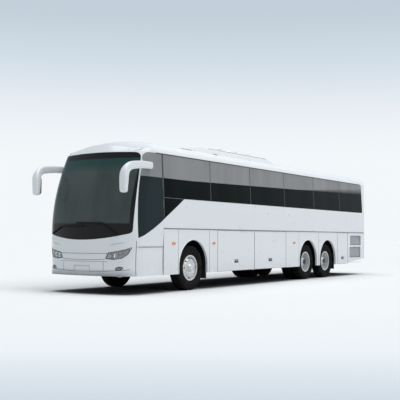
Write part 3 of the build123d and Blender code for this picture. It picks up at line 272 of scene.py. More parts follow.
def turned(profile, centre, side=1, steps=96):
    """A closed profile of (outboard, radius) turned about a line along Y.

    Point = centre + radius times (cos a, 0, sin a) + outboard along Y, for every angle a.
    """
    out, radius = np.asarray(profile).T
    angle = np.linspace(0.0, 2 * pi, steps, endpoint=False)[:, None]
    x = centre[0] + radius * np.cos(angle)
    z = centre[2] + radius * np.sin(angle)
    y = side * (centre[1] + out) + 0.0 * angle
    return skinned(np.stack([x, y, z], axis=-1), round_rows=True)


def slabs(corners):
    """Boxes between pairs of corners: every mix of low and high x, y and z, and six faces each."""
    corners = np.asarray(corners, dtype=float)
    pick = np.array([[0, 0, 0], [1, 0, 0], [1, 1, 0], [0, 1, 0],
                     [0, 0, 1], [1, 0, 1], [1, 1, 1], [0, 1, 1]])
    points = np.where(pick[None] == 0, corners[:, None, 0], corners[:, None, 1])
    sides = np.array([[0, 3, 2, 1], [4, 5, 6, 7], [0, 1, 5, 4], [1, 2, 6, 5], [2, 3, 7, 6], [3, 0, 4, 7]])
    faces = sides[None] + 8 * np.arange(len(corners))[:, None, None]
    return points.reshape(-1, 3), faces.reshape(-1, 4).tolist()


def merged(mesh):
    """An editable copy of a mesh, with points closer than 0.02 mm made one."""
    bm = bmesh.new()
    bm.from_mesh(mesh)
    bmesh.ops.remove_doubles(bm, verts=bm.verts, dist=0.00002)
    return bm


def piece(name, shape, finish, body="body", slot=None, crease=38.0, bevel=0.0, replaces=()):
    """Put a shape into a mesh, close it, point it outwards, finish it and let it ride on a body."""
    mesh = bpy.data.meshes.new(name)
    mesh.from_pydata(np.asarray(shape[0]).tolist(), [], shape[1])
    bm = merged(mesh)
    bmesh.ops.recalc_face_normals(bm, faces=bm.faces)
    bm.to_mesh(mesh)
    bm.free()
    made = bpy.data.objects.new(name, mesh)
    scene.collection.objects.link(made)
    if isinstance(finish, str):
        slot, finish = finish, finishes[finish]
    mesh.materials.append(finish)
    if bevel:
        edge = made.modifiers.new("bevel", "BEVEL")
        edge.width = bevel
        edge.segments = 2
        edge.limit_method = "ANGLE"
        edge.angle_limit = radians(35)
    mesh.polygons.foreach_set("use_smooth", [True] * len(mesh.polygons))
    mesh.set_sharp_from_angle(angle=radians(crease))
    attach(made, body)
    if replaces:
        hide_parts(*replaces)
    return made


def wheel_turns(count):
    """Turns about Y by even steps round the wheel, as matrices."""
    a = 2 * pi * np.arange(count) / count
    zero, one = np.zeros(count), np.ones(count)
    return np.stack([np.cos(a), zero, np.sin(a), zero, one, zero, -np.sin(a), zero, np.cos(a)],
                    axis=-1).reshape(-1, 3, 3)


tread = [(0.112, 0.5195), (0.085, 0.5235), (0.0845, 0.512), (0.0765, 0.512), (0.076, 0.5245),
         (0.034, 0.525), (0.0335, 0.5125), (0.0255, 0.5125), (0.025, 0.525)]
tyre_wall = [(0.098, 0.2875), (0.108, 0.302), (0.122, 0.318), (0.136, 0.350), (0.1465, 0.398),
             (0.1445, 0.440), (0.1365, 0.474), (0.1375, 0.479), (0.131, 0.490), (0.124, 0.506)]
half_tyre = tyre_wall + tread
tyre_profile = half_tyre + [(-out, radius) for out, radius in half_tyre[::-1]]
shoulder_block = slabs([[(-0.017, -0.0135, 0.5127), (0.017, 0.0135, 0.5243)]])


def tyre_finish():
    """Tyre rubber: pale dust in soft patches, uneven roughness and a fine moulded grain."""
    f = Finish("tyre_rubber", (0.006, 0.006, 0.0065), 0.85, Specular_IOR_Level=0.08)
    f.put("Base Color", f.blend(f.span(f.noise(7.0, 6.0), 0.35, 0.75), f.base, (0.018, 0.0175, 0.017)))
    f.uneven(18.0, 4.0, 0.7, 0.88)
    f.bump(f.noise(90.0, 3.0), 0.0008, 0.4)
    return f.material


def silver_finish(name, colour, rough):
    """Silver wheel enamel, with brake dust that gathers in soft patches."""
    f = Finish(name, colour, rough, 0.45, Coat_Weight=0.3, Coat_Roughness=0.15)
    dust = f.math("MULTIPLY", f.span(f.noise(14.0, 6.0), 0.4, 0.75), 0.35)
    f.put("Base Color", f.blend(dust, f.base, (0.16, 0.155, 0.15)))
    f.uneven(30.0, 4.0, rough * 0.8, rough * 1.3)
    f.bump(f.noise(160.0, 3.0), 0.0004, 0.3)
    return f.material


finish_nodes("tyre", tyre_finish())
finish_nodes("wheel_silver", silver_finish("wheel_silver", (0.72, 0.73, 0.74), 0.3))
chrome = plain_finish("chrome", (0.86, 0.87, 0.88), 0.09, 1.0)


def around(axle_x, seat, radius, count, start=0.0):
    """Even places on a circle about an axle: x = axle + r cos a, y = seat, z = axle height + r sin a."""
    a = 2 * pi * (np.arange(count) + start) / count
    return np.stack([axle_x + radius * np.cos(a), np.full(count, seat),
                     axle_z + radius * np.sin(a)], axis=-1)


nut = turned([(0.0, 0.0005), (0.0, 0.0165), (0.019, 0.0165), (0.022, 0.0145), (0.022, 0.009),
              (0.036, 0.0085), (0.036, 0.0005)], (0, 0, 0), steps=6)
# a dark disc for each hand hole, set back in it as painted shade
painted_light = turned([(0.0, 0.0005), (0.0, 0.0264), (0.004, 0.0264), (0.004, 0.0005)], (0, 0, 0), steps=16)
screw = turned([(0.0, 0.0005), (0.0, 0.006), (0.012, 0.0055), (0.012, 0.0005)], (0, 0, 0), steps=6)
# how far outboard of the tyre's middle each thing is seated, and its radius, for nuts, hub and hand holes
steered = (0.112, 0.1675), (0.150, 0.070), (0.062, 0.228)
unsteered = (-0.151, 0.150), (0.075, 0.100), (-0.142, 0.217)
block_out, block_count, nut_count, hole_count = 0.1005, 64, 10, 8

for place, axle_x in axles.items():
    rows = (tyre_y, inner_tyre_y) if place == "drive" else (tyre_y,)
    fit = steered if place == "front" else unsteered
    (nut_out, nut_circle), (hub_out, hub), (hole_out, hole_circle) = fit
    for name, side in SIDES:
        wheel = f"{place}_{name}"
        body = f"wheel_{wheel}"
        parts = []
        for row in rows:
            parts.append(turned(tyre_profile, (axle_x, row, axle_z), side, 120))
            parts += [repeated(shoulder_block,
                               [(axle_x, side * row + way * block_out, axle_z)] * block_count,
                               wheel_turns(block_count)) for way in (1, -1)]
        piece(f"road_tyre_{wheel}", joined(parts), "tyre", body, replaces=[f"tyre_{wheel}"])

        # nuts, dark discs set back in the hand holes as painted shade, and the hub's cover and screws all
        # face outboard
        outboard = np.tile(np.diag([1.0, float(side), 1.0]), (nut_count, 1, 1))
        ring = around(axle_x, side * (tyre_y + nut_out), nut_circle, nut_count, 0.5)
        piece(f"wheel_nuts_{wheel}", repeated(nut, ring, outboard), chrome, body, "wheel_silver",
              crease=20.0)
        ring = around(axle_x, side * (tyre_y + hole_out), hole_circle, hole_count)
        piece(f"hand_hole_painted_shade_{wheel}", repeated(painted_light, ring, outboard[:hole_count]), "tyre", body)
        ring = around(axle_x, side * (tyre_y + hub_out + 0.002), hub * 0.8, hole_count)
        cover = turned([(0.0005, 0.0005), (0.0005, hub * 0.93), (0.006, hub * 0.90), (0.010, hub * 0.72),
                        (0.007, hub * 0.62), (0.007, hub * 0.40), (0.012, hub * 0.33), (0.014, 0.0005)],
                       (axle_x, tyre_y + hub_out, axle_z), side, 48)
        piece(f"hub_cover_{wheel}", joined([cover, repeated(screw, ring, outboard[:hole_count])]),
              "wheel_silver" if place == "front" else "dark_steel", body)

# ---------------------------------------------------------------- floor and passenger seats
# Bonded ply on the floor plates. Fourteen double seats stand along each side and one for the driver:
# sprung foam in moquette on a moulded shell, with armrests, a grab handle and a steel pedestal.
def at(ahead):
    """Station in metres for millimetres forward from the front axle."""
    return front_axle_x + ahead / 1000.0


def fabric_finish(name, colour, fleck):
    """Woven moquette: crossed threads, flecks of a second colour and a soft sheen."""
    f = Finish(name, colour, 0.9, Sheen_Weight=0.35, Sheen_Roughness=0.5)
    cells = f.node("TexVoronoi", {"Vector": f.place, "Scale": 95.0}).outputs["Distance"]
    f.put("Base Color", f.blend(f.span(cells, 0.12, 0.05), f.mottle(3.0, 0.8), fleck))
    f.uneven(40.0, 2.0, 0.82, 0.96)
    weave = f.math("ADD", f.waves(260.0, "X"), f.math("ADD", f.waves(260.0, "Y"), f.waves(260.0, "Z")))
    f.bump(weave, 0.0005, 0.5)
    return f.material


finish_nodes("floor_ply", plain_finish("floor_ply", (0.03, 0.03, 0.03), 0.75, grain=0.0004))
finish_nodes("seat_fabric", fabric_finish("seat_fabric", (0.020, 0.035, 0.085), (0.25, 0.06, 0.03)))
finish_nodes("dash_plastic", plain_finish("dash_plastic", (0.022, 0.022, 0.024), 0.6, grain=0.0004))
floor_z, seat_pitch, seat_width, half_aisle = 1.300, 0.8, 0.45, 0.255
seat_rows = at(620.0) - seat_pitch * np.arange(14)
driver_y = 0.60
seat_fronts = np.array([(x, side * (half_aisle + seat_width * (seat + 0.5)), floor_z)
                        for x in seat_rows for side in HANDS for seat in (0, 1)]
                       + [(at(1500.0), driver_y, 0.94)])


def rounded_pad(size, power=4.0, steps=28):
    """A pillow block: |x/a|^n + |y/b|^n + |z/c|^n = 1, from two angles, closed at both poles."""
    u = np.linspace(-pi / 2 + 0.02, pi / 2 - 0.02, steps)[:, None]
    v = np.linspace(0.0, 2 * pi, 2 * steps, endpoint=False)[None, :]

    def soften(value):
        return np.sign(value) * np.abs(value) ** (2.0 / power)

    ring = np.stack([soften(np.cos(u)) * soften(np.cos(v)), soften(np.cos(u)) * soften(np.sin(v)),
                     soften(np.sin(u)) + 0.0 * v], axis=-1)
    return skinned(ring * np.asarray(size) / 2)


def points_of(mesh):
    """All points of a mesh, as rows of x, y and z."""
    points = np.empty(len(mesh.vertices) * 3)
    mesh.vertices.foreach_get("co", points)
    return points.reshape(-1, 3)


def settled(pad):
    """A new mesh of an object as its modifiers leave it."""
    graph = bpy.context.evaluated_depsgraph_get()
    mesh = bpy.data.meshes.new_from_object(pad.evaluated_get(graph))
    pad.modifiers.clear()
    return mesh


pad_pressure, pad_stiffness, pad_frames = 4.0, 30.0, 20
pad_mesh_size = 0.009


def inflated(name, shape, swell, faces_left):
    """Blow a pad up as cloth under pressure, with no gravity, and cap how far each point may move."""
    mesh = bpy.data.meshes.new(name)
    mesh.from_pydata(shape[0].tolist(), [], shape[1])
    pad = bpy.data.objects.new(name, mesh)
    scene.collection.objects.link(pad)
    remesh = pad.modifiers.new("remesh", "REMESH")
    remesh.mode = "VOXEL"
    remesh.voxel_size = pad_mesh_size
    pad.data = settled(pad)
    before = points_of(pad.data)
    after = before
    cloth = pad.modifiers.new("cloth", "CLOTH")
    cloth.settings.use_pressure = True
    cloth.settings.uniform_pressure_force = pad_pressure
    cloth.settings.effector_weights.gravity = 0.0
    cloth.settings.tension_stiffness = pad_stiffness
    cloth.settings.compression_stiffness = pad_stiffness
    for step in range(1, pad_frames + 1):
        scene.frame_set(step)
    after = points_of(settled(pad))
    scene.frame_set(1)
    move = after - before
    far = np.linalg.norm(move, axis=1, keepdims=True)
    after = before + move * np.minimum(1.0, swell / np.maximum(far, 1e-9))
    pad.data.vertices.foreach_set("co", after.reshape(-1))
    thin = pad.modifiers.new("thin", "DECIMATE")
    thin.ratio = min(1.0, faces_left / (2.0 * len(pad.data.polygons)))
    mesh = settled(pad)
    bpy.data.objects.remove(pad)
    mesh.calc_loop_triangles()
    corners = np.empty(len(mesh.loop_triangles) * 3, dtype=np.int32)
    mesh.loop_triangles.foreach_get("vertices", corners)
    return points_of(mesh), corners.reshape(-1, 3).tolist()


def channelled(shape, way, lines, face, deep=0.007, wide=0.010):
    """Sewn channels: each point sinks by deep times exp(-(distance from the seam / wide) squared)."""
    points, faces = shape
    points = points.copy()
    fall = np.exp(-((points[:, way][:, None] - np.asarray(lines)[None]) / wide) ** 2).max(axis=1)
    points[:, face] -= np.sign(points[:, face]) * deep * fall * (np.abs(points[:, face]) > 0.02)
    return points, faces


cushion = channelled(inflated("cushion_form", rounded_pad((0.400, 0.415, 0.100)), 0.014, 1500),
                     1, (-0.125, 0.125), 2)
back = channelled(inflated("back_form", rounded_pad((0.085, 0.405, 0.700)), 0.012, 1700),
                  2, (-0.20, -0.07, 0.06, 0.19), 0)
lean = radians(7.0)
back_turn = np.array([[cos(lean), 0.0, -sin(lean)], [0.0, 1.0, 0.0], [sin(lean), 0.0, cos(lean)]])
cushion_seat, back_seat = (-0.213, 0.0, 0.375), (-0.498, 0.0, 0.775)
for name, pads in (("seat_cushions", repeated(cushion, seat_fronts + cushion_seat)),
                   ("seat_backs", repeated(back, seat_fronts + back_seat, [back_turn] * len(seat_fronts)))):
    made = piece(name, pads, "seat_fabric", crease=60.0, replaces=["seats"])


def carried(outline, spread):
    """A flat outline in x and z carried across by spread along Y, as a closed strip."""
    outline = np.asarray(outline, dtype=float)
    rings = np.stack([np.insert(outline, 1, y, axis=1) for y in (-spread / 2, spread / 2)])
    return skinned(rings)


# shell behind each back, cushion pan, pedestal with its foot plate, armrests and a grab handle
shell_points, shell_faces = carried([(-0.400, 0.300), (-0.020, 0.300), (-0.020, 0.322), (-0.420, 0.322),
                                     (-0.462, 0.370), (-0.535, 0.700), (-0.600, 1.140), (-0.609, 1.130),
                                     (-0.560, 0.700), (-0.520, 0.330)], 0.425)
stand = slabs([[(-0.330, -0.030, 0.012), (-0.150, 0.030, 0.300)],
               [(-0.390, -0.110, 0.0), (-0.090, 0.110, 0.012)],
               [(-0.440, 0.1955, 0.520), (-0.110, 0.2235, 0.550)],
               [(-0.440, -0.2235, 0.520), (-0.110, -0.1955, 0.550)],
               [(-0.6095, 0.020, 1.085), (-0.597, 0.200, 1.125)]])
shell_walls, shell_ends = ((shell_points, [face for face in shell_faces if (len(face) == 4) == is_wall])
                           for is_wall in (True, False))
piece("seat_shells", joined([repeated(part, seat_fronts) for part in (shell_walls, shell_ends, stand)]),
      "dash_plastic", replaces=["seats"])

# ---------------------------------------------------------------- driver's place
# A moulded dashboard carries two round dials with chromed rims and a row of rocker switches. The
# steering wheel has a padded boss. All of it is dark plastic, and the dials have no marks.
def dished(profile, spot, normal, steps=40):
    """A closed profile of (out, radius) turned about a line that leaves spot along normal."""
    normal = np.asarray(normal) / np.linalg.norm(normal)
    first = np.cross(normal, (0.0, 1.0, 0.3))
    first /= np.linalg.norm(first)
    second = np.cross(normal, first)
    angle = np.linspace(0.0, 2 * pi, steps, endpoint=False)[:, None, None]
    out, radius = (np.asarray(column)[None, :, None] for column in np.asarray(profile).T)
    arm = np.cos(angle) * first + np.sin(angle) * second
    return skinned(np.asarray(spot) + out * normal + radius * arm, round_rows=True)


dial_way = np.array([-0.55, 0.0, 0.83])
dial_spots = [(at(1925.0), driver_y + step, 1.452) for step in (-0.085, 0.085)]
rim = [(0.004, 0.058), (0.010, 0.060), (0.010, 0.066), (0.004, 0.070), (-0.012, 0.070), (-0.012, 0.058)]
face = [(0.003, 0.0005), (0.003, 0.0585), (-0.010, 0.0585), (-0.010, 0.0005)]
for name, profile, finish in (("dial_rims", rim, chrome),
                              ("dial_faces", face, plain_finish("dial_face", (0.30, 0.32, 0.33), 0.35,
                                                                scale=60.0))):
    piece(name, joined([dished(profile, spot, dial_way) for spot in dial_spots]), finish,
          slot="dash_plastic")
switch_y = driver_y - 0.27 - 0.045 * np.arange(14)
switch_corners = [[(at(1930.0), y - 0.015, 1.440), (at(1952.0), y + 0.015, 1.468)] for y in switch_y]
piece("dash_switches", slabs(switch_corners), "dash_plastic", bevel=0.003)
boss_way = np.array([-cos(radians(65.0)), 0.0, sin(radians(65.0))])
boss = [(0.004, 0.0005), (0.004, 0.060), (0.018, 0.056), (0.030, 0.038), (0.033, 0.0005)]
piece("steering_boss", dished(boss, (at(1600.0), driver_y, 1.64), boss_way), "dash_plastic",
      "steering_wheel")

# ---------------------------------------------------------------- painted shell, panel joints and trims
# Steel and plastic panels in glossy pale silver paint. Joints are filled with grey sealant, flaps have a
# thin rubber edge, and rolled beads along the waist and round the wheel arches are near-white as a painted
# highlight.
half_width, waist_z, kink_z, sill_z = 1.275, 1.42, 1.95, 2.125
glass_top_z, cant_z, cant_half_width = 3.108, 3.124, 1.213
cab_joint_x, tail_x = 5.389, -6.874
fascia_joint_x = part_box("front_fascia")[0][0] - 0.002
skirt_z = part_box("side_panels")[0][2]


def coach_paint(name, colour, rough=0.3, coat=0.4, coat_rough=0.08, level=0.35):
    """Glossy two-coat paint over panels with a soft waviness."""
    f = Finish(name, colour, rough, Coat_Weight=coat, Coat_Roughness=coat_rough, Specular_IOR_Level=level)
    f.bump(f.noise(1.4, 1.0), 0.006, 0.12)
    return f


def paint_finish(name, colour):
    """Coach paint with a thin film of road dirt near the skirt."""
    f = coach_paint(name, colour, coat=0.5, coat_rough=0.06)
    film = f.math("MULTIPLY", f.span(f.axis("Z"), 0.85, 0.38), f.span(f.noise(6.0, 6.0), 0.25, 0.8))
    f.put("Base Color", f.blend(f.math("MULTIPLY", film, 0.22), f.mottle(0.7, 0.985), (0.30, 0.29, 0.27)))
    f.put("Roughness", f.math("ADD", f.span(f.noise(3.0, 3.0), 0.3, 0.7, 0.27, 0.33),
                              f.math("MULTIPLY", film, 0.2)))
    return f.material


def roof_finish():
    """Whiter roof paint, which passes into the greyer tone of the nose across the front cap."""
    f = coach_paint("roof_paint", (0.90, 0.92, 0.935))
    f.put("Base Color", f.blend(f.span(f.axis("X"), 5.45, 5.90), f.mottle(0.7, 0.985), (0.68, 0.715, 0.74)))
    f.uneven(3.0, 3.0, 0.27, 0.34)
    return f.material


paint = paint_finish("body_paint", (0.75, 0.785, 0.815))
finish_nodes("body_paint", paint)
roof_paint = roof_finish()
for name in ("roof", "roof_unit"):
    nodes[name].data.materials[0] = roof_paint
finish_nodes("trim_grey", plain_finish("trim_grey", (0.13, 0.14, 0.15), 0.35, 0.3))
# grey for panel joints, and for thin lines of painted shade along creases on the nose
sealant_and_crease_shade = plain_finish("joint_sealant_and_crease_shade", (0.16, 0.172, 0.185), 0.6)
# near-black for rubber parts, and for thin lines of painted shade on the nose and the roof cap
rubber_and_shade_lines = plain_finish("rubber_and_shade_lines", (0.035, 0.037, 0.04), 0.6, grain=0.0002)
paddle_grey = plain_finish("paddle_grey", (0.33, 0.37, 0.41), 0.3, 0.4)
# near-white beads, lips and rims: a painted highlight along rolled edges that catch the light
painted_highlight_bead = plain_finish("painted_highlight_bead", (0.93, 0.945, 0.955), 0.3, scale=4.0, Coat_Weight=0.4)


def wall_y(z):
    """How far the side wall stands out: half width up to the kink, then leaning in to the cant."""
    lean = np.clip((np.asarray(z) - kink_z) / (cant_z - kink_z), 0.0, None)
    return half_width - (half_width - cant_half_width) * lean


def side_strips(rows, side, lift=0.0008, depth=0.004):
    """Flat strips on a side wall, one per row of (front x, rear x, low z, high z).

    Each is a box from depth inside the wall to lift outside it, leaned over by the wall's own slope.
    """
    rows = np.asarray(rows, dtype=float)
    low = np.stack([rows[:, 1], np.full(len(rows), -depth), rows[:, 2]], axis=-1)
    high = np.stack([rows[:, 0], np.full(len(rows), lift), rows[:, 3]], axis=-1)
    points, faces = slabs(np.stack([low, high], axis=1))
    points[:, 1] = side * (wall_y(points[:, 2]) + points[:, 1])
    return points, faces


def upright(x, low, high, width):
    """The row of a strip that stands at x."""
    return (x + width / 2, x - width / 2, low, high)


joint_wide, flap_edge = 0.010, 0.007
strip_tail_x, flap_tail_x = tail_x + 0.35, tail_x + 0.46
arch_half, arch_top_z = 0.602, 1.180
for name, side in SIDES:
    stations = [634.0, -689.0, -1064.0, -4787.0, -5626.0, -7009.0, -8478.0]
    stations += [-9343.0] if name == "right" else []
    rows = [upright(at(x), skirt_z, waist_z, joint_wide) for x in stations]
    piece(f"panel_joints_{name}", side_strips(rows, side), sealant_and_crease_shade, slot="trim_grey")
    rows = [upright(cab_joint_x - 0.002, skirt_z, 1.60, 0.013)]
    piece(f"cab_joint_{name}", side_strips(rows, side), sealant_and_crease_shade, slot="trim_grey")
    rows = [(cab_joint_x - 0.004, strip_tail_x, waist_z + 0.004, waist_z + 0.0255)]
    piece(f"waist_strip_{name}", side_strips(rows, side, lift=0.0085), "trim_grey", bevel=0.003)
    # a painted highlight: a near-white bead just under the waist strip
    rows = [(cab_joint_x - 0.02, strip_tail_x, waist_z + 0.0005, waist_z + 0.0038)]
    piece(f"waist_highlight_bead_{name}", side_strips(rows, side, lift=0.0100), painted_highlight_bead, slot="body_paint")

# flaps: name, front and rear joint, and the station and height of the catch; the radiator's runs to
# the tail, and has no catch of its own
flaps = [("luggage_door_front", -1064.0, -2931.0, -1981.0, 0.643),
         ("radiator_door", -9343.0, None, None, None),
         ("luggage_door_rear", -2931.0, -4787.0, -3829.0, 0.641),
         ("service_door", -8478.0, -9343.0, -8889.0, 0.600)]
for flap, front_at, rear_at, catch_at, catch_z in flaps:
    for name, side in SIDES:
        body = f"{flap}_{name}"
        if body not in frame["bodies"]:
            continue
        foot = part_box(body)[0][2]
        front, top = at(front_at) - 0.004, waist_z - 0.0125
        rear = at(rear_at) + 0.004 if rear_at else flap_tail_x
        rows = [upright(front - flap_edge / 2, foot, top, flap_edge), (front, rear, foot, foot + flap_edge)]
        if rear_at:
            rows.append(upright(rear + flap_edge / 2, foot, top, flap_edge))
        piece(f"{body}_edge", side_strips(rows, side), sealant_and_crease_shade, body, "trim_grey")
        # a painted highlight: a near-white bead along the flap's top edge
        rows = [(front - flap_edge, rear + flap_edge, top - 0.014, top)]
        piece(f"{body}_bead", side_strips(rows, side, lift=0.004), painted_highlight_bead, body, "body_paint",
              bevel=0.003)
        if not catch_at:
            continue
        # the catch: a black plate with a grey metal paddle and a key barrel
        x = at(catch_at)
        rows = [(x + 0.095, x - 0.095, catch_z - 0.043, catch_z + 0.043)]
        piece(f"{body}_catch_plate", side_strips(rows, side, lift=0.005), rubber_and_shade_lines, body,
              "dash_plastic", bevel=0.004)
        rows = [(x + 0.078, x - 0.078, catch_z + 0.006, catch_z + 0.033)]
        paddle = side_strips(rows, side, lift=0.012)
        barrel = dished([(0.004, 0.0005), (0.004, 0.012), (0.011, 0.012), (0.012, 0.0005)],
                        (x, side * half_width, catch_z - 0.020), (0.0, side, 0.0), 20)
        piece(f"{body}_catch", joined([paddle, barrel]), paddle_grey, body, "dark_steel", bevel=0.003)

# rolled lips round the wheel arches: a half-round bead along a round head on straight jambs, near-white as
# a painted highlight
for name, side in SIDES:
    lips = []
    for axle_x in axles.values():
        angle = np.linspace(0.0, pi, 49)
        head = np.stack([axle_x + arch_half * np.cos(angle), 0 * angle,
                         arch_top_z - arch_half + arch_half * np.sin(angle)], axis=-1)
        foot_z = skirt_z + 0.004
        path = np.concatenate([[[axle_x + arch_half, 0.0, foot_z]], head,
                               [[axle_x - arch_half, 0.0, foot_z]]])
        run = np.gradient(path, axis=0)
        run /= np.linalg.norm(run, axis=1, keepdims=True)
        outward = np.stack([run[:, 2], 0 * run[:, 0], -run[:, 0]], axis=-1)
        turn = np.linspace(0.0, pi, 7)[None, :, None]
        ring = (path[:, None] + outward[:, None] * (0.0125 + 0.0125 * np.cos(turn))
                + np.array([0.0, 1.0, 0.0]) * 0.007 * np.sin(turn))
        ring[..., 1] = side * (half_width - 0.0005 + ring[..., 1])
        lips.append(skinned(ring))
    piece(f"arch_highlight_lips_{name}", joined(lips), painted_highlight_bead, slot="body_paint", crease=70.0)

# ---------------------------------------------------------------- side glass
# Bonded tinted panes with a paler band above seat height, which is a painted reflection of the bright
# surroundings. Black sealant fills the joints between panes, and a narrow gutter runs over them under the
# roof.
pane_pitch = 1.985


def glass_finish(name, deep, painted_light, reflection_edge_z, see):
    """Tinted glass: a dark lower part, and above a given height a paler band that is a painted reflection.

    The band's lower edge climbs and softens towards the tail, as the painted reflection's edge: height over
    that edge by its softness.
    """
    f = Finish(name, deep, 0.03, Specular_IOR_Level=0.06, IOR=1.3)
    # the paler upper band is a painted reflection; its lower edge climbs and softens towards the tail
    edge_z = f.span(f.axis("X"), 4.2, tail_x, reflection_edge_z, reflection_edge_z + 0.20)
    soft = f.span(f.axis("X"), -1.5, tail_x, 0.012, 0.24)
    over = f.math("SUBTRACT", f.axis("Z"), edge_z)
    upper = f.span(f.math("DIVIDE", over, soft), 0.0, 1.0)
    streak = f.noise(1.0, 3.0, f.scaled(2.2, 2.2, 0.5))
    pale = f.blend(f.span(streak, 0.3, 0.7), tuple(c * 0.82 for c in painted_light), painted_light)
    dark = f.blend(f.span(streak, 0.45, 0.75), deep, tuple(c * 1.9 for c in deep))
    dark = f.blend(f.span(f.axis("X"), cab_joint_x, cab_joint_x + 0.01), dark, (0.024, 0.036, 0.040))
    f.put("Base Color", f.blend(upper, dark, pale))
    f.put("Alpha", f.span(upper, 0.0, 1.0, see, 1.0))
    f.uneven(4.0, 3.0, 0.025, 0.06)
    return f.material


# the grey of the painted reflection on the upper glass, and the height of its lower edge at the front
finish_nodes("tinted_glass", glass_finish("tinted_glass", (0.004, 0.007, 0.008), (0.300, 0.305, 0.312),
                                          2.565, 0.93))
pane_seal = plain_finish("pane_seal", (0.045, 0.048, 0.05), 0.5, grain=0.0002)
for name, side in SIDES:
    rows = [upright(cab_joint_x - k * pane_pitch, sill_z + 0.004, glass_top_z - 0.004, 0.026)
            for k in range(1, 6)]
    piece(f"pane_seals_{name}", side_strips(rows, side, 0.0015), pane_seal, slot="wiper_black")
    rows = [(at(1450.0), tail_x + 0.50, glass_top_z - 0.010, glass_top_z + 0.012)]
    piece(f"roof_gutter_{name}", side_strips(rows, side, lift=0.006), pane_seal, slot="wiper_black",
          bevel=0.002)
# the post behind the driver's window bends at the kink, so its seal has a low and a high length
post = [side_strips([upright(cab_joint_x, low, high, 0.052)], 1, 0.0015)
        for low, high in ((1.690, kink_z), (kink_z, glass_top_z - 0.004))]
piece("cab_glass_seal", joined(post), pane_seal, slot="wiper_black")
rows = [(cab_joint_x - 0.03, at(430.0), sill_z - 0.002, sill_z + 0.008)]
piece("quarter_glass_line", side_strips(rows, 1, 0.0012), sealant_and_crease_shade, slot="trim_grey")
rows = [(fascia_joint_x - 0.004, cab_joint_x + 0.006, 1.0225, 1.0335)]
piece("locker_seal", side_strips(rows, 1), rubber_and_shade_lines, slot="trim_grey")

# ---------------------------------------------------------------- roof
# A plastic cap comes down over the windscreen: the imported cap, cut into a close net and lowered towards
# the nose, with strips of painted shade along its crease. Behind it the roof skin carries two hatches, dark
# strips and the cooling unit with its fans.
def surface(*names):
    """What rays are cast at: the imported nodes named."""
    return BVHTree.FromPolygons(*joined([([v.co[:] for v in nodes[name].data.vertices],
                                          [list(p.vertices) for p in nodes[name].data.polygons])
                                         for name in names]))


def netted(bm, x_range, y_range, step):
    """Cut a mesh by planes a step apart along X and Y, so that a bend has points to follow."""
    for way, (low, high) in enumerate((x_range, y_range)):
        normal = [0.0, 0.0, 0.0]
        normal[way] = 1.0
        for place in np.arange(low, high, step):
            spot = [0.0, 0.0, 0.0]
            spot[way] = place
            bmesh.ops.bisect_plane(bm, geom=bm.verts[:] + bm.edges[:] + bm.faces[:], dist=0.00001,
                                   plane_co=spot, plane_no=normal)


def eased(value):
    """From 0 to 1 with a soft start and end: 3 t squared less 2 t cubed."""
    t = np.clip(value, 0.0, 1.0)
    return t * t * (3.0 - 2.0 * t)


def lowered(points):
    """Height over the cant shrinks ahead of the cab joint, and shrinks more towards either corner.

    Height lost = height over the cant, times 0.42 to 0.84 from middle to corner, eased in over 0.7 m.
    """
    fore = eased((points[:, 0] - cab_joint_x) / 0.70)
    rise = np.clip(points[:, 2] - cant_z, 0.0, None)
    made = points.copy()
    corner = eased((np.abs(points[:, 1]) - 0.15) / 1.05)
    made[:, 2] -= (0.42 + 0.42 * corner) * fore * rise
    return made


bm = merged(nodes["front_roof"].data)
netted(bm, (cab_joint_x + 0.03, 6.60), (-1.18, 1.19), 0.06)
cap_mesh = bpy.data.meshes.new("roof_cap_form")
bm.to_mesh(cap_mesh)
bm.free()
cap_shape = lowered(points_of(cap_mesh)), [list(p.vertices) for p in cap_mesh.polygons]
piece("roof_cap", cap_shape, roof_paint, slot="body_paint", crease=40.0, replaces=["front_roof"])


def draped(tree, line, width, way, lift=0.0012, depth=0.004, step=0.03):
    """A flat strip laid on a surface along a line.

    Both edges of the strip, half its width to each side, are cast along way, lifted, and given depth.
    """
    way = np.asarray(way, dtype=float) / np.linalg.norm(way)
    line = np.asarray(line, dtype=float)
    length = np.concatenate([[0.0], np.cumsum(np.linalg.norm(np.diff(line, axis=0), axis=1))])
    count = max(2, int(length[-1] / step) + 1)
    at_length = np.linspace(0.0, length[-1], count)
    path = np.stack([np.interp(at_length, length, line[:, i]) for i in range(3)], axis=-1)
    run = np.gradient(path, axis=0)
    across = np.cross(run, way)
    across *= width / 2 / np.linalg.norm(across, axis=1, keepdims=True)
    edges = np.stack([path + across, path - across], axis=1) - way * 2.0
    hits = [[tree.ray_cast(Vector(p), Vector(way))[:2] for p in pair] for pair in edges]
    pairs = [pair for pair in hits if pair[0][0] is not None and pair[1][0] is not None]
    spot = np.array([[hit[:] for hit, _ in pair] for pair in pairs])
    normal = np.array([[turn[:] for _, turn in pair] for pair in pairs])
    normal *= -np.sign(normal @ way)[..., None]
    outer = spot + normal * lift
    inner = spot - normal * depth
    return skinned(np.stack([outer[:, 0], outer[:, 1], inner[:, 1], inner[:, 0]], axis=1))


DOWN = (0.0, 0.0, -1.0)
roof_top = surface("roof")
cap_top = BVHTree.FromPolygons(*cap_shape)
over_roof = 3.6  # lines are laid at this height and cast down
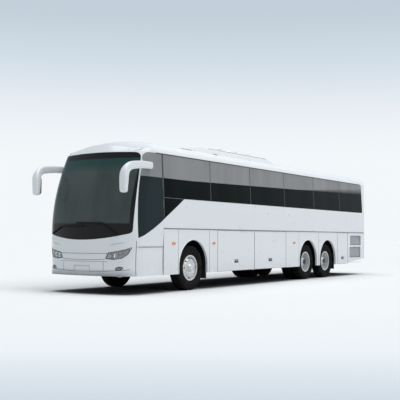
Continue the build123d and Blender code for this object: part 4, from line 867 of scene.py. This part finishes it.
# dark strips on the roof near its edges; on the cap, strips of painted shade along its crease
dark_strips = [draped(roof_top, [(front, side * y, over_roof), (rear, side * y, over_roof)], wide, DOWN, lift)
         for front, rear, y, wide, lift in ((4.43, 3.97, 1.06, 0.035, 0.004),
                                            (3.02, 2.84, 1.09, 0.03, 0.006))
         for side in HANDS]
dark_strips += [draped(cap_top, [(x, side * y, over_roof) for x, y in ((6.03, 0.93), (5.97, 1.00), (5.89, 1.06))],
                 0.012, DOWN, 0.002, step=0.015) for side in HANDS]
piece("roof_dark_strips", joined(dark_strips), rubber_and_shade_lines, slot="wiper_black")

# hatches: each lid is six strips side by side that follow the roof's crown, on a wider, lower rim
hatch_x, hatch_half_long, hatch_half_wide, rim_more = (4.20, -4.85), 0.36, 0.37, 0.035
hatches, hatch_rims = [], []
for middle in hatch_x:
    for grow, store, lift in ((0.0, hatches, 0.030), (rim_more, hatch_rims, 0.018)):
        half_long, half_wide = hatch_half_long + grow, hatch_half_wide + grow
        store += [draped(roof_top, [(x, y, over_roof) for x in (middle + half_long, middle - half_long)],
                         half_wide / 3, DOWN, lift) for y in half_wide * (np.arange(6) - 2.5) / 3]
piece("hatch_lids", joined(hatches), roof_paint, slot="body_paint", bevel=0.004)
piece("hatch_rims", joined(hatch_rims), rubber_and_shade_lines, slot="wiper_black")

# fans: a collar, four guard rings and two crossed bars over each of the unit's six outlets
unit_top = surface("roof_unit")
UP = (0.0, 0.0, 1.0)
collar = [(0.0, 0.245), (0.012, 0.250), (0.012, 0.272), (-0.004, 0.285), (-0.010, 0.245)]
bar_long, bar_half = 0.245, 0.004
collars, bars, guards = [], [], []
for fan_x in (at(-2200.0), at(-2950.0), at(-3700.0)):
    for fan_y in (-0.38, 0.38):
        spot = unit_top.ray_cast(Vector((fan_x, fan_y, 5.0)), Vector(DOWN))[0]
        collars.append(dished(collar, spot, UP, 48))
        guards += [dished([(0.004, r), (0.008, r + 0.002), (0.004, r + 0.005), (0.001, r + 0.002)], spot,
                          UP, 40) for r in (0.06, 0.105, 0.15, 0.195)]
        bars.append(slabs([[spot + Vector((-x, -y, 0.001)), spot + Vector((x, y, 0.006))]
                           for x, y in ((bar_long, bar_half), (bar_half, bar_long))]))
piece("fan_collars", joined(collars), roof_paint, slot="body_paint")
piece("fan_guards", joined(guards + bars), rubber_and_shade_lines, slot="wiper_black")
unit_lines = [draped(unit_top, [(at(-1350.0), side * 2.0, 3.50), (at(-4420.0), side * 2.0, 3.50)], 0.012,
                     (0.0, -side, 0.0), 0.001) for side in HANDS]
piece("unit_lines", joined(unit_lines), sealant_and_crease_shade, slot="trim_grey")

# ---------------------------------------------------------------- windscreen and wipers
# Laminated glass, smoked, with a green sun strip at its head and a black printed border. Each wiper is
# a sprung black arm with a rubber blade.
def screen_finish():
    """The windscreen: smoked glass with a green sun strip, and black printed borders."""
    f = Finish("screen_glass", (0.045, 0.058, 0.058), 0.03, Specular_IOR_Level=0.15)
    z = f.axis("Z")
    y = f.math("ABSOLUTE", f.axis("Y"))
    streak = f.noise(1.3, 3.0, f.scaled(1.0, 1.6, 0.5))
    tone = f.blend(f.span(streak, 0.35, 0.7), (0.050, 0.066, 0.065), (0.072, 0.090, 0.088))
    strip = f.math("MULTIPLY", f.span(z, 2.66, 2.86), f.span(z, 2.99, 2.96))
    tone = f.blend(f.math("MULTIPLY", strip, 0.75), tone, (0.008, 0.055, 0.050))
    print_top = f.span(z, 2.955, 2.985)
    print_foot = f.span(z, 1.555, 1.52)
    print_side = f.span(y, 1.105, 1.125)
    border = f.math("MAXIMUM", f.math("MAXIMUM", print_top, print_foot), print_side)
    f.put("Base Color", f.blend(border, tone, (0.010, 0.010, 0.011)))
    f.put("Alpha", f.span(border, 0.0, 1.0, 0.90, 1.0))
    f.uneven(4.0, 3.0, 0.03, 0.07)
    return f.material


finish_nodes("screen_glass", screen_finish())
finish_nodes("wiper_black", plain_finish("wiper_black", (0.004, 0.004, 0.004), 0.6, grain=0.0002,
                                         Specular_IOR_Level=0.15))

# ---------------------------------------------------------------- nose: bumper, grille and lamps
# One moulded bumper and fascia. Joints are thin dark lines that follow its curve, and the dark lines along
# its lip, its creases and round the plate's recess are painted shade. Lamps have black housings, chromed
# bowls with glass bulbs, black rims and clear covers.
nose = surface("front_fascia", "front_grille", "front_lamps", "windscreen")
BACK = (-1.0, 0.0, 0.0)


def bumper_finish():
    """Body paint that turns duller and darker grey along the foot of the front bumper, where its lip faces
    down: the grey is painted shade.
    """
    f = coach_paint("bumper_paint", (0.72, 0.76, 0.79), 0.32, level=0.3)
    ahead = f.span(f.axis("X"), 6.22, 6.50)
    # painted shade on the downturned lip, patchy by noise, with rougher paint there as well
    foot = f.math("MULTIPLY", f.span(f.axis("Z"), 0.560, 0.410), ahead)
    painted_lip_shade = f.math("MULTIPLY", foot, f.span(f.noise(9.0, 5.0), 0.2, 0.7, 0.85, 1.0))
    f.put("Base Color", f.blend(painted_lip_shade, f.mottle(0.7, 0.985), (0.25, 0.265, 0.28)))
    f.put("Roughness", f.math("ADD", 0.30, f.math("MULTIPLY", foot, 0.2)))
    return f.material


nodes["front_fascia"].data.materials[0] = bumper_finish()


def on_nose(points, width, side=1, lift=0.0012, step=0.03):
    """A strip draped on the nose through points given across and up in millimetres."""
    return draped(nose, [(8.0, side * y / 1000.0, z / 1000.0) for y, z in points], width, BACK, lift,
                  step=step)


def bowed(start, middle, end, count=24):
    """A shallow bow through three points across and up: a parabola over y."""
    y = np.linspace(start[0], end[0], count)
    z = np.polyval(np.polyfit(*np.array([start, middle, end]).T, 2), y)
    return list(zip(y, z))


grille_top = bowed((-664.0, 890.0), (0.0, 882.0), (664.0, 890.0))
grille_foot = bowed((-598.0, 762.0), (0.0, 745.0), (598.0, 762.0))
lip = bowed((-1130.0, 545.0), (0.0, 494.0), (1130.0, 545.0), 48)
dark_lines = [on_nose(line, 0.012) for line in (grille_top, grille_foot)]
dark_lines += [on_nose([(664.0, 890.0), (598.0, 762.0)], 0.009, side) for side in HANDS]
# a painted shadow under the top edge of the plate's recess
dark_lines.append(on_nose([(-215.0, 622.0), (215.0, 622.0)], 0.012))
piece("grille_lines", joined(dark_lines), rubber_and_shade_lines, slot="trim_grey")
# bumper: lip, two upright joints, the sides of the plate's recess, the creases over the lamps, the top
# joint, and the joints between the fascia and the cab's sides; the lines on the lip, the recess and the
# creases are painted shade
fine_lines = [on_nose(lip, 0.012)]
for points, wide in (([(570.0, 704.0), (570.0, 500.0)], 0.009), ([(215.0, 620.0), (232.0, 498.0)], 0.008),
                     ([(740.0, 1066.0), (880.0, 1100.0), (1040.0, 1120.0)], 0.007)):
    fine_lines += [on_nose(points, wide, side) for side in HANDS]
fine_lines.append(on_nose([(-664.0, 712.0), (664.0, 712.0)], 0.007))
nose_side = surface("front_fascia", "cab_sides", "locker_door_left", "entry_door")
fine_lines += [draped(nose_side, [(fascia_joint_x, side * 3.0, z) for z in (skirt_z + 0.01, 1.16)], 0.013,
                      (0.0, -side, 0.0)) for side in HANDS]
piece("bumper_lines", joined(fine_lines), sealant_and_crease_shade, slot="trim_grey")
headlamp_outline = [(620, 775), (690, 905), (900, 938), (1050, 972), (1160, 1022), (1092, 868), (985, 785),
                    (800, 758), (620, 775), (690, 905)]
fog_angle = np.linspace(0.0, 2 * pi, 33)
fog_reach = np.stack([925.0 + 78.0 * np.cos(fog_angle), 565.0 + 34.0 * np.sin(fog_angle)
                      + 12.0 * np.cos(fog_angle)], axis=-1)
rims = [on_nose(outline, wide, side, 0.0016, 0.02)
        for side in HANDS for outline, wide in ((headlamp_outline, 0.010), (fog_reach, 0.016))]
piece("lamp_rims", joined(rims), rubber_and_shade_lines, slot="dash_plastic")


def loose_parts(mesh):
    """Split a mesh into its separate solids, smallest first, each as points and faces.

    Each point takes the lowest number among the triangles that it is in, until no number changes.
    Volume = a sixth of the sum, over the triangles, of corner . (corner x corner).
    """
    bm = merged(mesh)
    bm.verts.index_update()
    points = np.array([v.co[:] for v in bm.verts])
    faces = np.array([[v.index for v in face.verts] for face in bm.faces])
    bm.free()
    label, last = np.arange(len(points)), None
    while last is None or (label != last).any():
        last = label.copy()
        np.minimum.at(label, faces, last[faces].min(axis=1, keepdims=True))
    solids = []
    for number in np.unique(label):
        own = faces[label[faces[:, 0]] == number]
        used, numbers = np.unique(own, return_inverse=True)
        corners = points[own]
        volume = abs(np.einsum("ij,ij->i", corners[:, 0], np.cross(corners[:, 1], corners[:, 2])).sum() / 6)
        solids.append((volume, (points[used], numbers.reshape(-1, 3).tolist())))
    return [shape for volume, shape in sorted(solids, key=lambda solid: solid[0])]


cover_glass = plain_finish("cover_glass", (0.93, 0.95, 0.97), 0.03, Alpha=0.14, Specular_IOR_Level=0.6)
bulb_glass = plain_finish("bulb_glass", (0.9, 0.92, 0.94), 0.04, Transmission_Weight=0.6, IOR=1.45)
housing = plain_finish("lamp_housing", (0.10, 0.105, 0.11), 0.3, 0.5)
finish_nodes("clear_lens", cover_glass)
lamp_solids = loose_parts(nodes["front_lamps"].data)
covers = lamp_solids[:2] + lamp_solids[4:6]
backs = lamp_solids[2:4] + lamp_solids[6:]
piece("lamp_covers", joined(covers), cover_glass, slot="clear_lens", replaces=["front_lamps"])
piece("lamp_housings", joined(backs), housing, slot="clear_lens", replaces=["front_lamps"])

# bowls sunk square to the nose, by their place across and up and their radius: bowl, dome and bezel
lamp_places = ((0.728, 0.833, 0.050), (0.862, 0.850, 0.056), (0.984, 0.885, 0.046),
               (1.078, 0.938, 0.030), (0.886, 0.559, 0.023), (0.958, 0.570, 0.023))
bowls, bulbs, bezels = [], [], []
for side in HANDS:
    for y, z, radius in lamp_places:
        hit, turn = nose.ray_cast(Vector((9.0, side * y, z)), Vector(BACK))[:2]
        spot, turn = np.array(hit), np.array(turn) * np.sign(turn[0])
        u = np.linspace(0.0, 1.0, 9)
        inner = np.stack([-0.012 - 0.018 * (1.0 - u ** 2), radius * (0.44 + 0.53 * u)], axis=-1)
        outer = inner[::-1] - (0.0014, 0.0)
        bowls.append(dished(np.concatenate([inner, outer]), spot, turn))
        v = np.linspace(0.0, pi / 2, 7)
        dome = np.stack([-0.020 + 0.012 * np.sin(v), np.maximum(0.0005, radius * 0.40 * np.cos(v))],
                        axis=-1)
        foot = [(-0.0215, 0.0005), (-0.0215, radius * 0.40)]
        bulbs.append(dished(np.concatenate([dome, foot]), spot, turn, 28))
        bezels.append(dished([(-0.0115, radius * 0.99), (-0.0105, radius * 1.10),
                              (-0.0090, radius * 1.10), (-0.0090, radius * 0.97)], spot, turn))
piece("lamp_bowls", joined(bowls), chrome, slot="clear_lens")
piece("lamp_bulb_domes", joined(bulbs), bulb_glass, slot="clear_lens")
piece("lamp_bezels", joined(bezels), rubber_and_shade_lines, slot="dash_plastic")

# ---------------------------------------------------------------- mirrors
# Each mirror hangs from a thick moulded horn, painted like the body. It comes forward from a black foot
# by the roof pillar, bends down ahead of the screen, and its wide head holds a glass that faces back.
def horn(side):
    """A superellipse section carried along a smooth path of stations, with its size blended along it.

    Rows: x, y, z, half depth in the plane of the bend, half width across it.
    """
    rows = np.array([(5.845, 1.276, 2.802, 0.030, 0.016), (5.855, 1.278, 2.803, 0.068, 0.034),
                     (5.92, 1.281, 2.806, 0.080, 0.040), (6.20, 1.290, 2.800, 0.083, 0.042),
                     (6.44, 1.288, 2.778, 0.086, 0.044), (6.62, 1.280, 2.742, 0.088, 0.054),
                     (6.735, 1.270, 2.665, 0.088, 0.072), (6.788, 1.262, 2.570, 0.082, 0.090),
                     (6.798, 1.258, 2.440, 0.074, 0.094), (6.800, 1.256, 2.310, 0.068, 0.090),
                     (6.800, 1.255, 2.215, 0.062, 0.082), (6.800, 1.255, 2.180, 0.050, 0.066),
                     (6.800, 1.255, 2.168, 0.020, 0.026)])
    fine = np.linspace(0.0, len(rows) - 1.0, 73)
    low = np.clip(fine.astype(int), 0, len(rows) - 2)
    t = (fine - low)[:, None]
    slope = np.gradient(rows, axis=0)
    a, b, da, db = rows[low], rows[low + 1], slope[low], slope[low + 1]
    path = ((2 * t**3 - 3 * t**2 + 1) * a + (t**3 - 2 * t**2 + t) * da + (3 * t**2 - 2 * t**3) * b
            + (t**3 - t**2) * db)
    run = np.gradient(path[:, :3], axis=0)
    run[:, 1] = 0.0
    run /= np.linalg.norm(run, axis=1, keepdims=True)
    rise = np.stack([-run[:, 2], 0 * run[:, 0], run[:, 0]], axis=-1)
    angle = np.linspace(0.0, 2 * pi, 36, endpoint=False)[None, :, None]
    round_in = np.sign(np.cos(angle)) * np.abs(np.cos(angle)) ** 0.62
    round_across = np.sign(np.sin(angle)) * np.abs(np.sin(angle)) ** 0.62
    ring = (path[:, None, :3] + rise[:, None] * path[:, None, 3:4] * round_in
            + np.array([0.0, 1.0, 0.0]) * path[:, None, 4:5] * round_across)
    ring[..., 1] *= side
    return skinned(ring)


def rounded_plate(middle, size, corner, side, steps=9):
    """A plate that faces back: a rounded rectangle in y and z, thick along x."""
    quarter = np.linspace(0.0, pi / 2, steps)
    half_y, half_z = size[1] / 2 - corner, size[2] / 2 - corner
    turns = np.concatenate([quarter + pi / 2 * k for k in range(4)])
    hub_y = np.repeat([half_y, -half_y, -half_y, half_y], steps)
    hub_z = np.repeat([half_z, half_z, -half_z, -half_z], steps)
    y = side * (middle[1] + hub_y + corner * np.cos(turns))
    z = middle[2] + hub_z + corner * np.sin(turns)
    return skinned([np.stack([np.full(len(y), x), y, z], axis=-1)
                    for x in (middle[0] - size[0] / 2, middle[0] + size[0] / 2)])


mirror_face = plain_finish("mirror_glass", (0.80, 0.84, 0.86), 0.02, 1.0)
foot = [(0.0, 0.0005), (0.0, 0.052), (0.030, 0.046), (0.052, 0.040), (0.052, 0.0005)]
head_y, head_z = 1.256, 2.385
for name, side in SIDES:
    piece(f"mirror_horn_{name}", horn(side), paint, slot="body_paint", crease=60.0, replaces=["mirrors"])
    seal = rounded_plate((6.7265, head_y, head_z), (0.010, 0.160, 0.370), 0.045, side)
    piece(f"mirror_seal_{name}", seal, rubber_and_shade_lines, slot="dash_plastic", bevel=0.002)
    glass = rounded_plate((6.7225, head_y, head_z), (0.006, 0.144, 0.354), 0.038, side)
    piece(f"mirror_glass_{name}", glass, mirror_face, slot="dash_plastic")
    piece(f"mirror_foot_{name}", dished(foot, (at(1716.0), side * 1.226, 2.790), (0.0, side, 0.0)),
          rubber_and_shade_lines, slot="dash_plastic")

# ---------------------------------------------------------------- marker lamps and tail
# Amber markers stand on pale rims along the skirt, whose near-white is a painted highlight. Each tail lamp
# is a tall red lens with fine prisms, split by bright bars into stop, turn and reversing lamps. The lid has
# pressed air louvres and a catch.
def lens_finish(name, colour, pitch, **sockets):
    """A moulded lens with fine prism ribs on its inside."""
    f = Finish(name, colour, 0.08, Specular_IOR_Level=0.5, Coat_Weight=0.4, **sockets)
    f.put("Base Color", f.mottle(30.0, 0.75))
    f.uneven(40.0, 2.0, 0.06, 0.12)
    f.bump(f.math("ADD", f.waves(pitch, "Z"), f.waves(pitch, "X")), 0.001, 0.4)
    return f.material


amber_lens = lens_finish("amber_lens", (0.85, 0.24, 0.02), 90.0)
finish_nodes("amber_lens", amber_lens)
finish_nodes("red_lens", lens_finish("red_lens", (0.42, 0.015, 0.012), 60.0))
marker_spots = [(at(x), 1.100) for x in (834.0, -880.0, -5301.0)]
for name, side in SIDES:
    # near-white rims round the markers: a painted highlight
    rows = [(x + 0.072, x - 0.072, z - 0.041, z + 0.041) for x, z in marker_spots]
    piece(f"marker_highlight_rims_{name}", side_strips(rows, side, lift=0.004), painted_highlight_bead, slot="trim_grey",
          bevel=0.002)
    rows = [(x + 0.061, x - 0.061, z - 0.031, z + 0.031) for x, z in marker_spots]
    piece(f"marker_lenses_{name}", side_strips(rows, side, lift=0.018), "amber_lens", bevel=0.009,
          replaces=["marker_lamps"])

# wire guards over the two louvred openings of the radiator door: front, rear, low and high edge of each
guard_rows = []
for front, rear, low, high in ((at(-9573.0), at(-10480.0), 1.021, 1.326),
                               (at(-9518.0), at(-10450.0), 0.606, 0.948)):
    guard_rows += [upright(x, low, high, 0.005) for x in np.linspace(rear + 0.02, front - 0.02, 12)]
    guard_rows += [(front + 0.010, rear - 0.010, z - 0.006, z + 0.006) for z in (low, high)]
    guard_rows += [upright(x, low, high, 0.012) for x in (front, rear)]
piece("radiator_guards", side_strips(guard_rows, 1, lift=0.002), sealant_and_crease_shade, "radiator_door_left",
      "trim_grey")

tail = surface("rear_wall", "tail_lamps", "engine_lid", "side_and_rear_glass")


def on_tail(start_y, end_y, z, width, lift=0.0012, step=0.03):
    """A level strip draped on the tail from one y to another."""
    return draped(tail, [(-8.0, start_y, z), (-8.0, end_y, z)], width, (1.0, 0.0, 0.0), lift, step=step)


# tail lamps: bright bars, turn lenses and white lenses, by their inner edge, heights, width and lift
for name, finish, slot, inner_y, heights, wide, lift in (
        ("tail_lamp_bars", chrome, "red_lens", 1.125, (1.192, 1.372, 1.552), 0.014, 0.003),
        ("tail_turn_lenses", amber_lens, "amber_lens", 1.120, (1.462,), 0.150, 0.002),
        ("tail_white_lenses", lens_finish("white_lens", (0.62, 0.64, 0.66), 70.0), "clear_lens", 1.120,
         (1.100,), 0.150, 0.002)):
    strips = [on_tail(side * inner_y, side * 1.262, z, wide, lift, 0.01)
              for side in HANDS for z in heights]
    piece(name, joined(strips), finish, slot=slot)

louvre_foot_z, louvre_pitch, louvre_count = 1.28, 0.045, 7
blade = carried([(0.004, 0.0), (-0.003, -0.002), (-0.005, -0.012), (0.004, -0.034)], 1.30)
piece("lid_louvres", repeated(blade, [(tail_x, 0.0, louvre_foot_z + louvre_pitch * k)
                                      for k in range(louvre_count)]), paint, "engine_lid", "body_paint")
piece("lid_catch", slabs([[(tail_x - 0.005, -0.085, 0.755), (tail_x + 0.004, 0.085, 0.795)]]), rubber_and_shade_lines,
      "engine_lid", "dash_plastic", bevel=0.003)
piece("rear_plate", slabs([[(tail_x - 0.0025, -0.260, 0.985), (tail_x + 0.002, 0.260, 1.095)]]),
      plain_finish("blank_plate", (0.82, 0.83, 0.82), 0.4, scale=9.0), "engine_lid", "trim_grey",
      bevel=0.001)
reflectors = [[(tail_x - 0.004, side * 1.03 - 0.045, 0.720), (tail_x + 0.004, side * 1.03 + 0.045, 0.760)]
              for side in HANDS]
piece("rear_reflectors", slabs(reflectors), "red_lens", bevel=0.002)
piece("high_stop_lamp", on_tail(-0.30, 0.30, 3.052, 0.034, 0.004), "red_lens")
rear_seam = [on_tail(*ends, 0.009) for ends in ((-1.22, -0.945, 0.70), (0.945, 1.22, 0.70),
                                                (-1.20, 1.20, 1.86))]
piece("rear_joints", joined(rear_seam), sealant_and_crease_shade, slot="trim_grey")

# ---------------------------------------------------------------- floor, light and sky
# A pale studio floor with painted shade that darkens it towards the viewer and a painted shadow under the
# coach, a soft white sky seen by the eye, glass and metal, and two wide soft suns: one from the coach's
# left and one from above.
bm = bmesh.new()
bmesh.ops.create_grid(bm, x_segments=2, y_segments=2, size=400.0)
floor_mesh = bpy.data.meshes.new("studio_floor")
bm.to_mesh(floor_mesh)
bm.free()
studio_floor = bpy.data.objects.new("studio_floor", floor_mesh)
scene.collection.objects.link(studio_floor)
f = Finish("studio_floor", (0.785, 0.81, 0.825), 0.9, Specular_IOR_Level=0.0)
floor_tone = f.mottle(0.05, 0.99)
# distance from the coach towards the floor's dim front edge, along the ground, where painted shade darkens
# the floor to blue-grey in a band
front_edge = f.math("ADD", f.math("MULTIPLY", f.axis("X"), 0.838), f.math("MULTIPLY", f.axis("Y"), 0.546))
tone = f.blend(f.span(front_edge, 9.5, 14.2), floor_tone, (0.735, 0.775, 0.805))
tone = f.blend(f.span(front_edge, 14.2, 16.8), tone, (0.545, 0.615, 0.675))
tone = f.blend(f.span(front_edge, 17.2, 22.0), tone, floor_tone)
# painted shadow: the ground that the coach stands over is darkened
painted_shadow_under = f.math("MULTIPLY", f.span(f.math("ABSOLUTE", f.axis("Y")), 1.35, 0.95),
               f.span(f.math("ABSOLUTE", f.axis("X")), 6.75, 6.2))
tone = f.blend(f.math("MULTIPLY", painted_shadow_under, 0.85), tone, (0.16, 0.17, 0.18))
f.put("Base Color", tone)
floor_mesh.materials.append(f.material)

world = bpy.data.worlds.new("studio")
scene.world = world
world.use_nodes = True
tree = world.node_tree
tree.nodes.clear()
coords = new_node(tree, "TexCoord").outputs["Generated"]
height = new_node(tree, "SeparateXYZ", {0: coords}).outputs["Z"]
ramp = new_node(tree, "ValToRGB", {"Fac": height})
seen = new_node(tree, "Background", {"Color": ramp.outputs["Color"]})
light = new_node(tree, "Background", {"Color": (0.94, 0.97, 1.0, 1.0), "Strength": 0.29})
path = new_node(tree, "LightPath").outputs
by_eye = path["Is Camera Ray"]
for ray in ("Is Glossy Ray", "Is Transmission Ray"):
    by_eye = new_node(tree, "Math", {0: by_eye, 1: path[ray]}, operation="MAXIMUM").outputs[0]
mix = new_node(tree, "MixShader", {0: by_eye, 1: light.outputs[0], 2: seen.outputs[0]})
new_node(tree, "OutputWorld", {"Surface": mix.outputs[0]})
# the sky's colour by the sine of its height
sky = [(0.0, (0.895, 0.93, 0.956)), (0.10, (0.895, 0.93, 0.956)), (0.124, (0.875, 0.91, 0.945)),
       (0.173, (0.78, 0.83, 0.885)), (0.222, (0.635, 0.72, 0.795)), (0.27, (0.55, 0.635, 0.71)),
       (0.34, (0.52, 0.60, 0.68))]
while len(ramp.color_ramp.elements) < len(sky):
    ramp.color_ramp.elements.new(1.0)
for element, (place, colour) in zip(ramp.color_ramp.elements, sky):
    element.position = place
    element.color = (*colour, 1.0)

for name, strength, angle, aim, tint in (
        ("key_light", 1.04, 45.0, (0.06, -0.62, -0.78), (1.0, 0.99, 0.98)),
        ("top_light", 1.95, 60.0, (0.0, 0.0, -1.0), (0.99, 0.995, 1.0))):
    lamp = bpy.data.lights.new(name, "SUN")
    lamp.energy = strength
    lamp.angle = radians(angle)
    lamp.color = tint
    lamp_object = bpy.data.objects.new(name, lamp)
    lamp_object.rotation_mode = "QUATERNION"
    lamp_object.rotation_quaternion = Vector(aim).to_track_quat("-Z", "Y")
    scene.collection.objects.link(lamp_object)
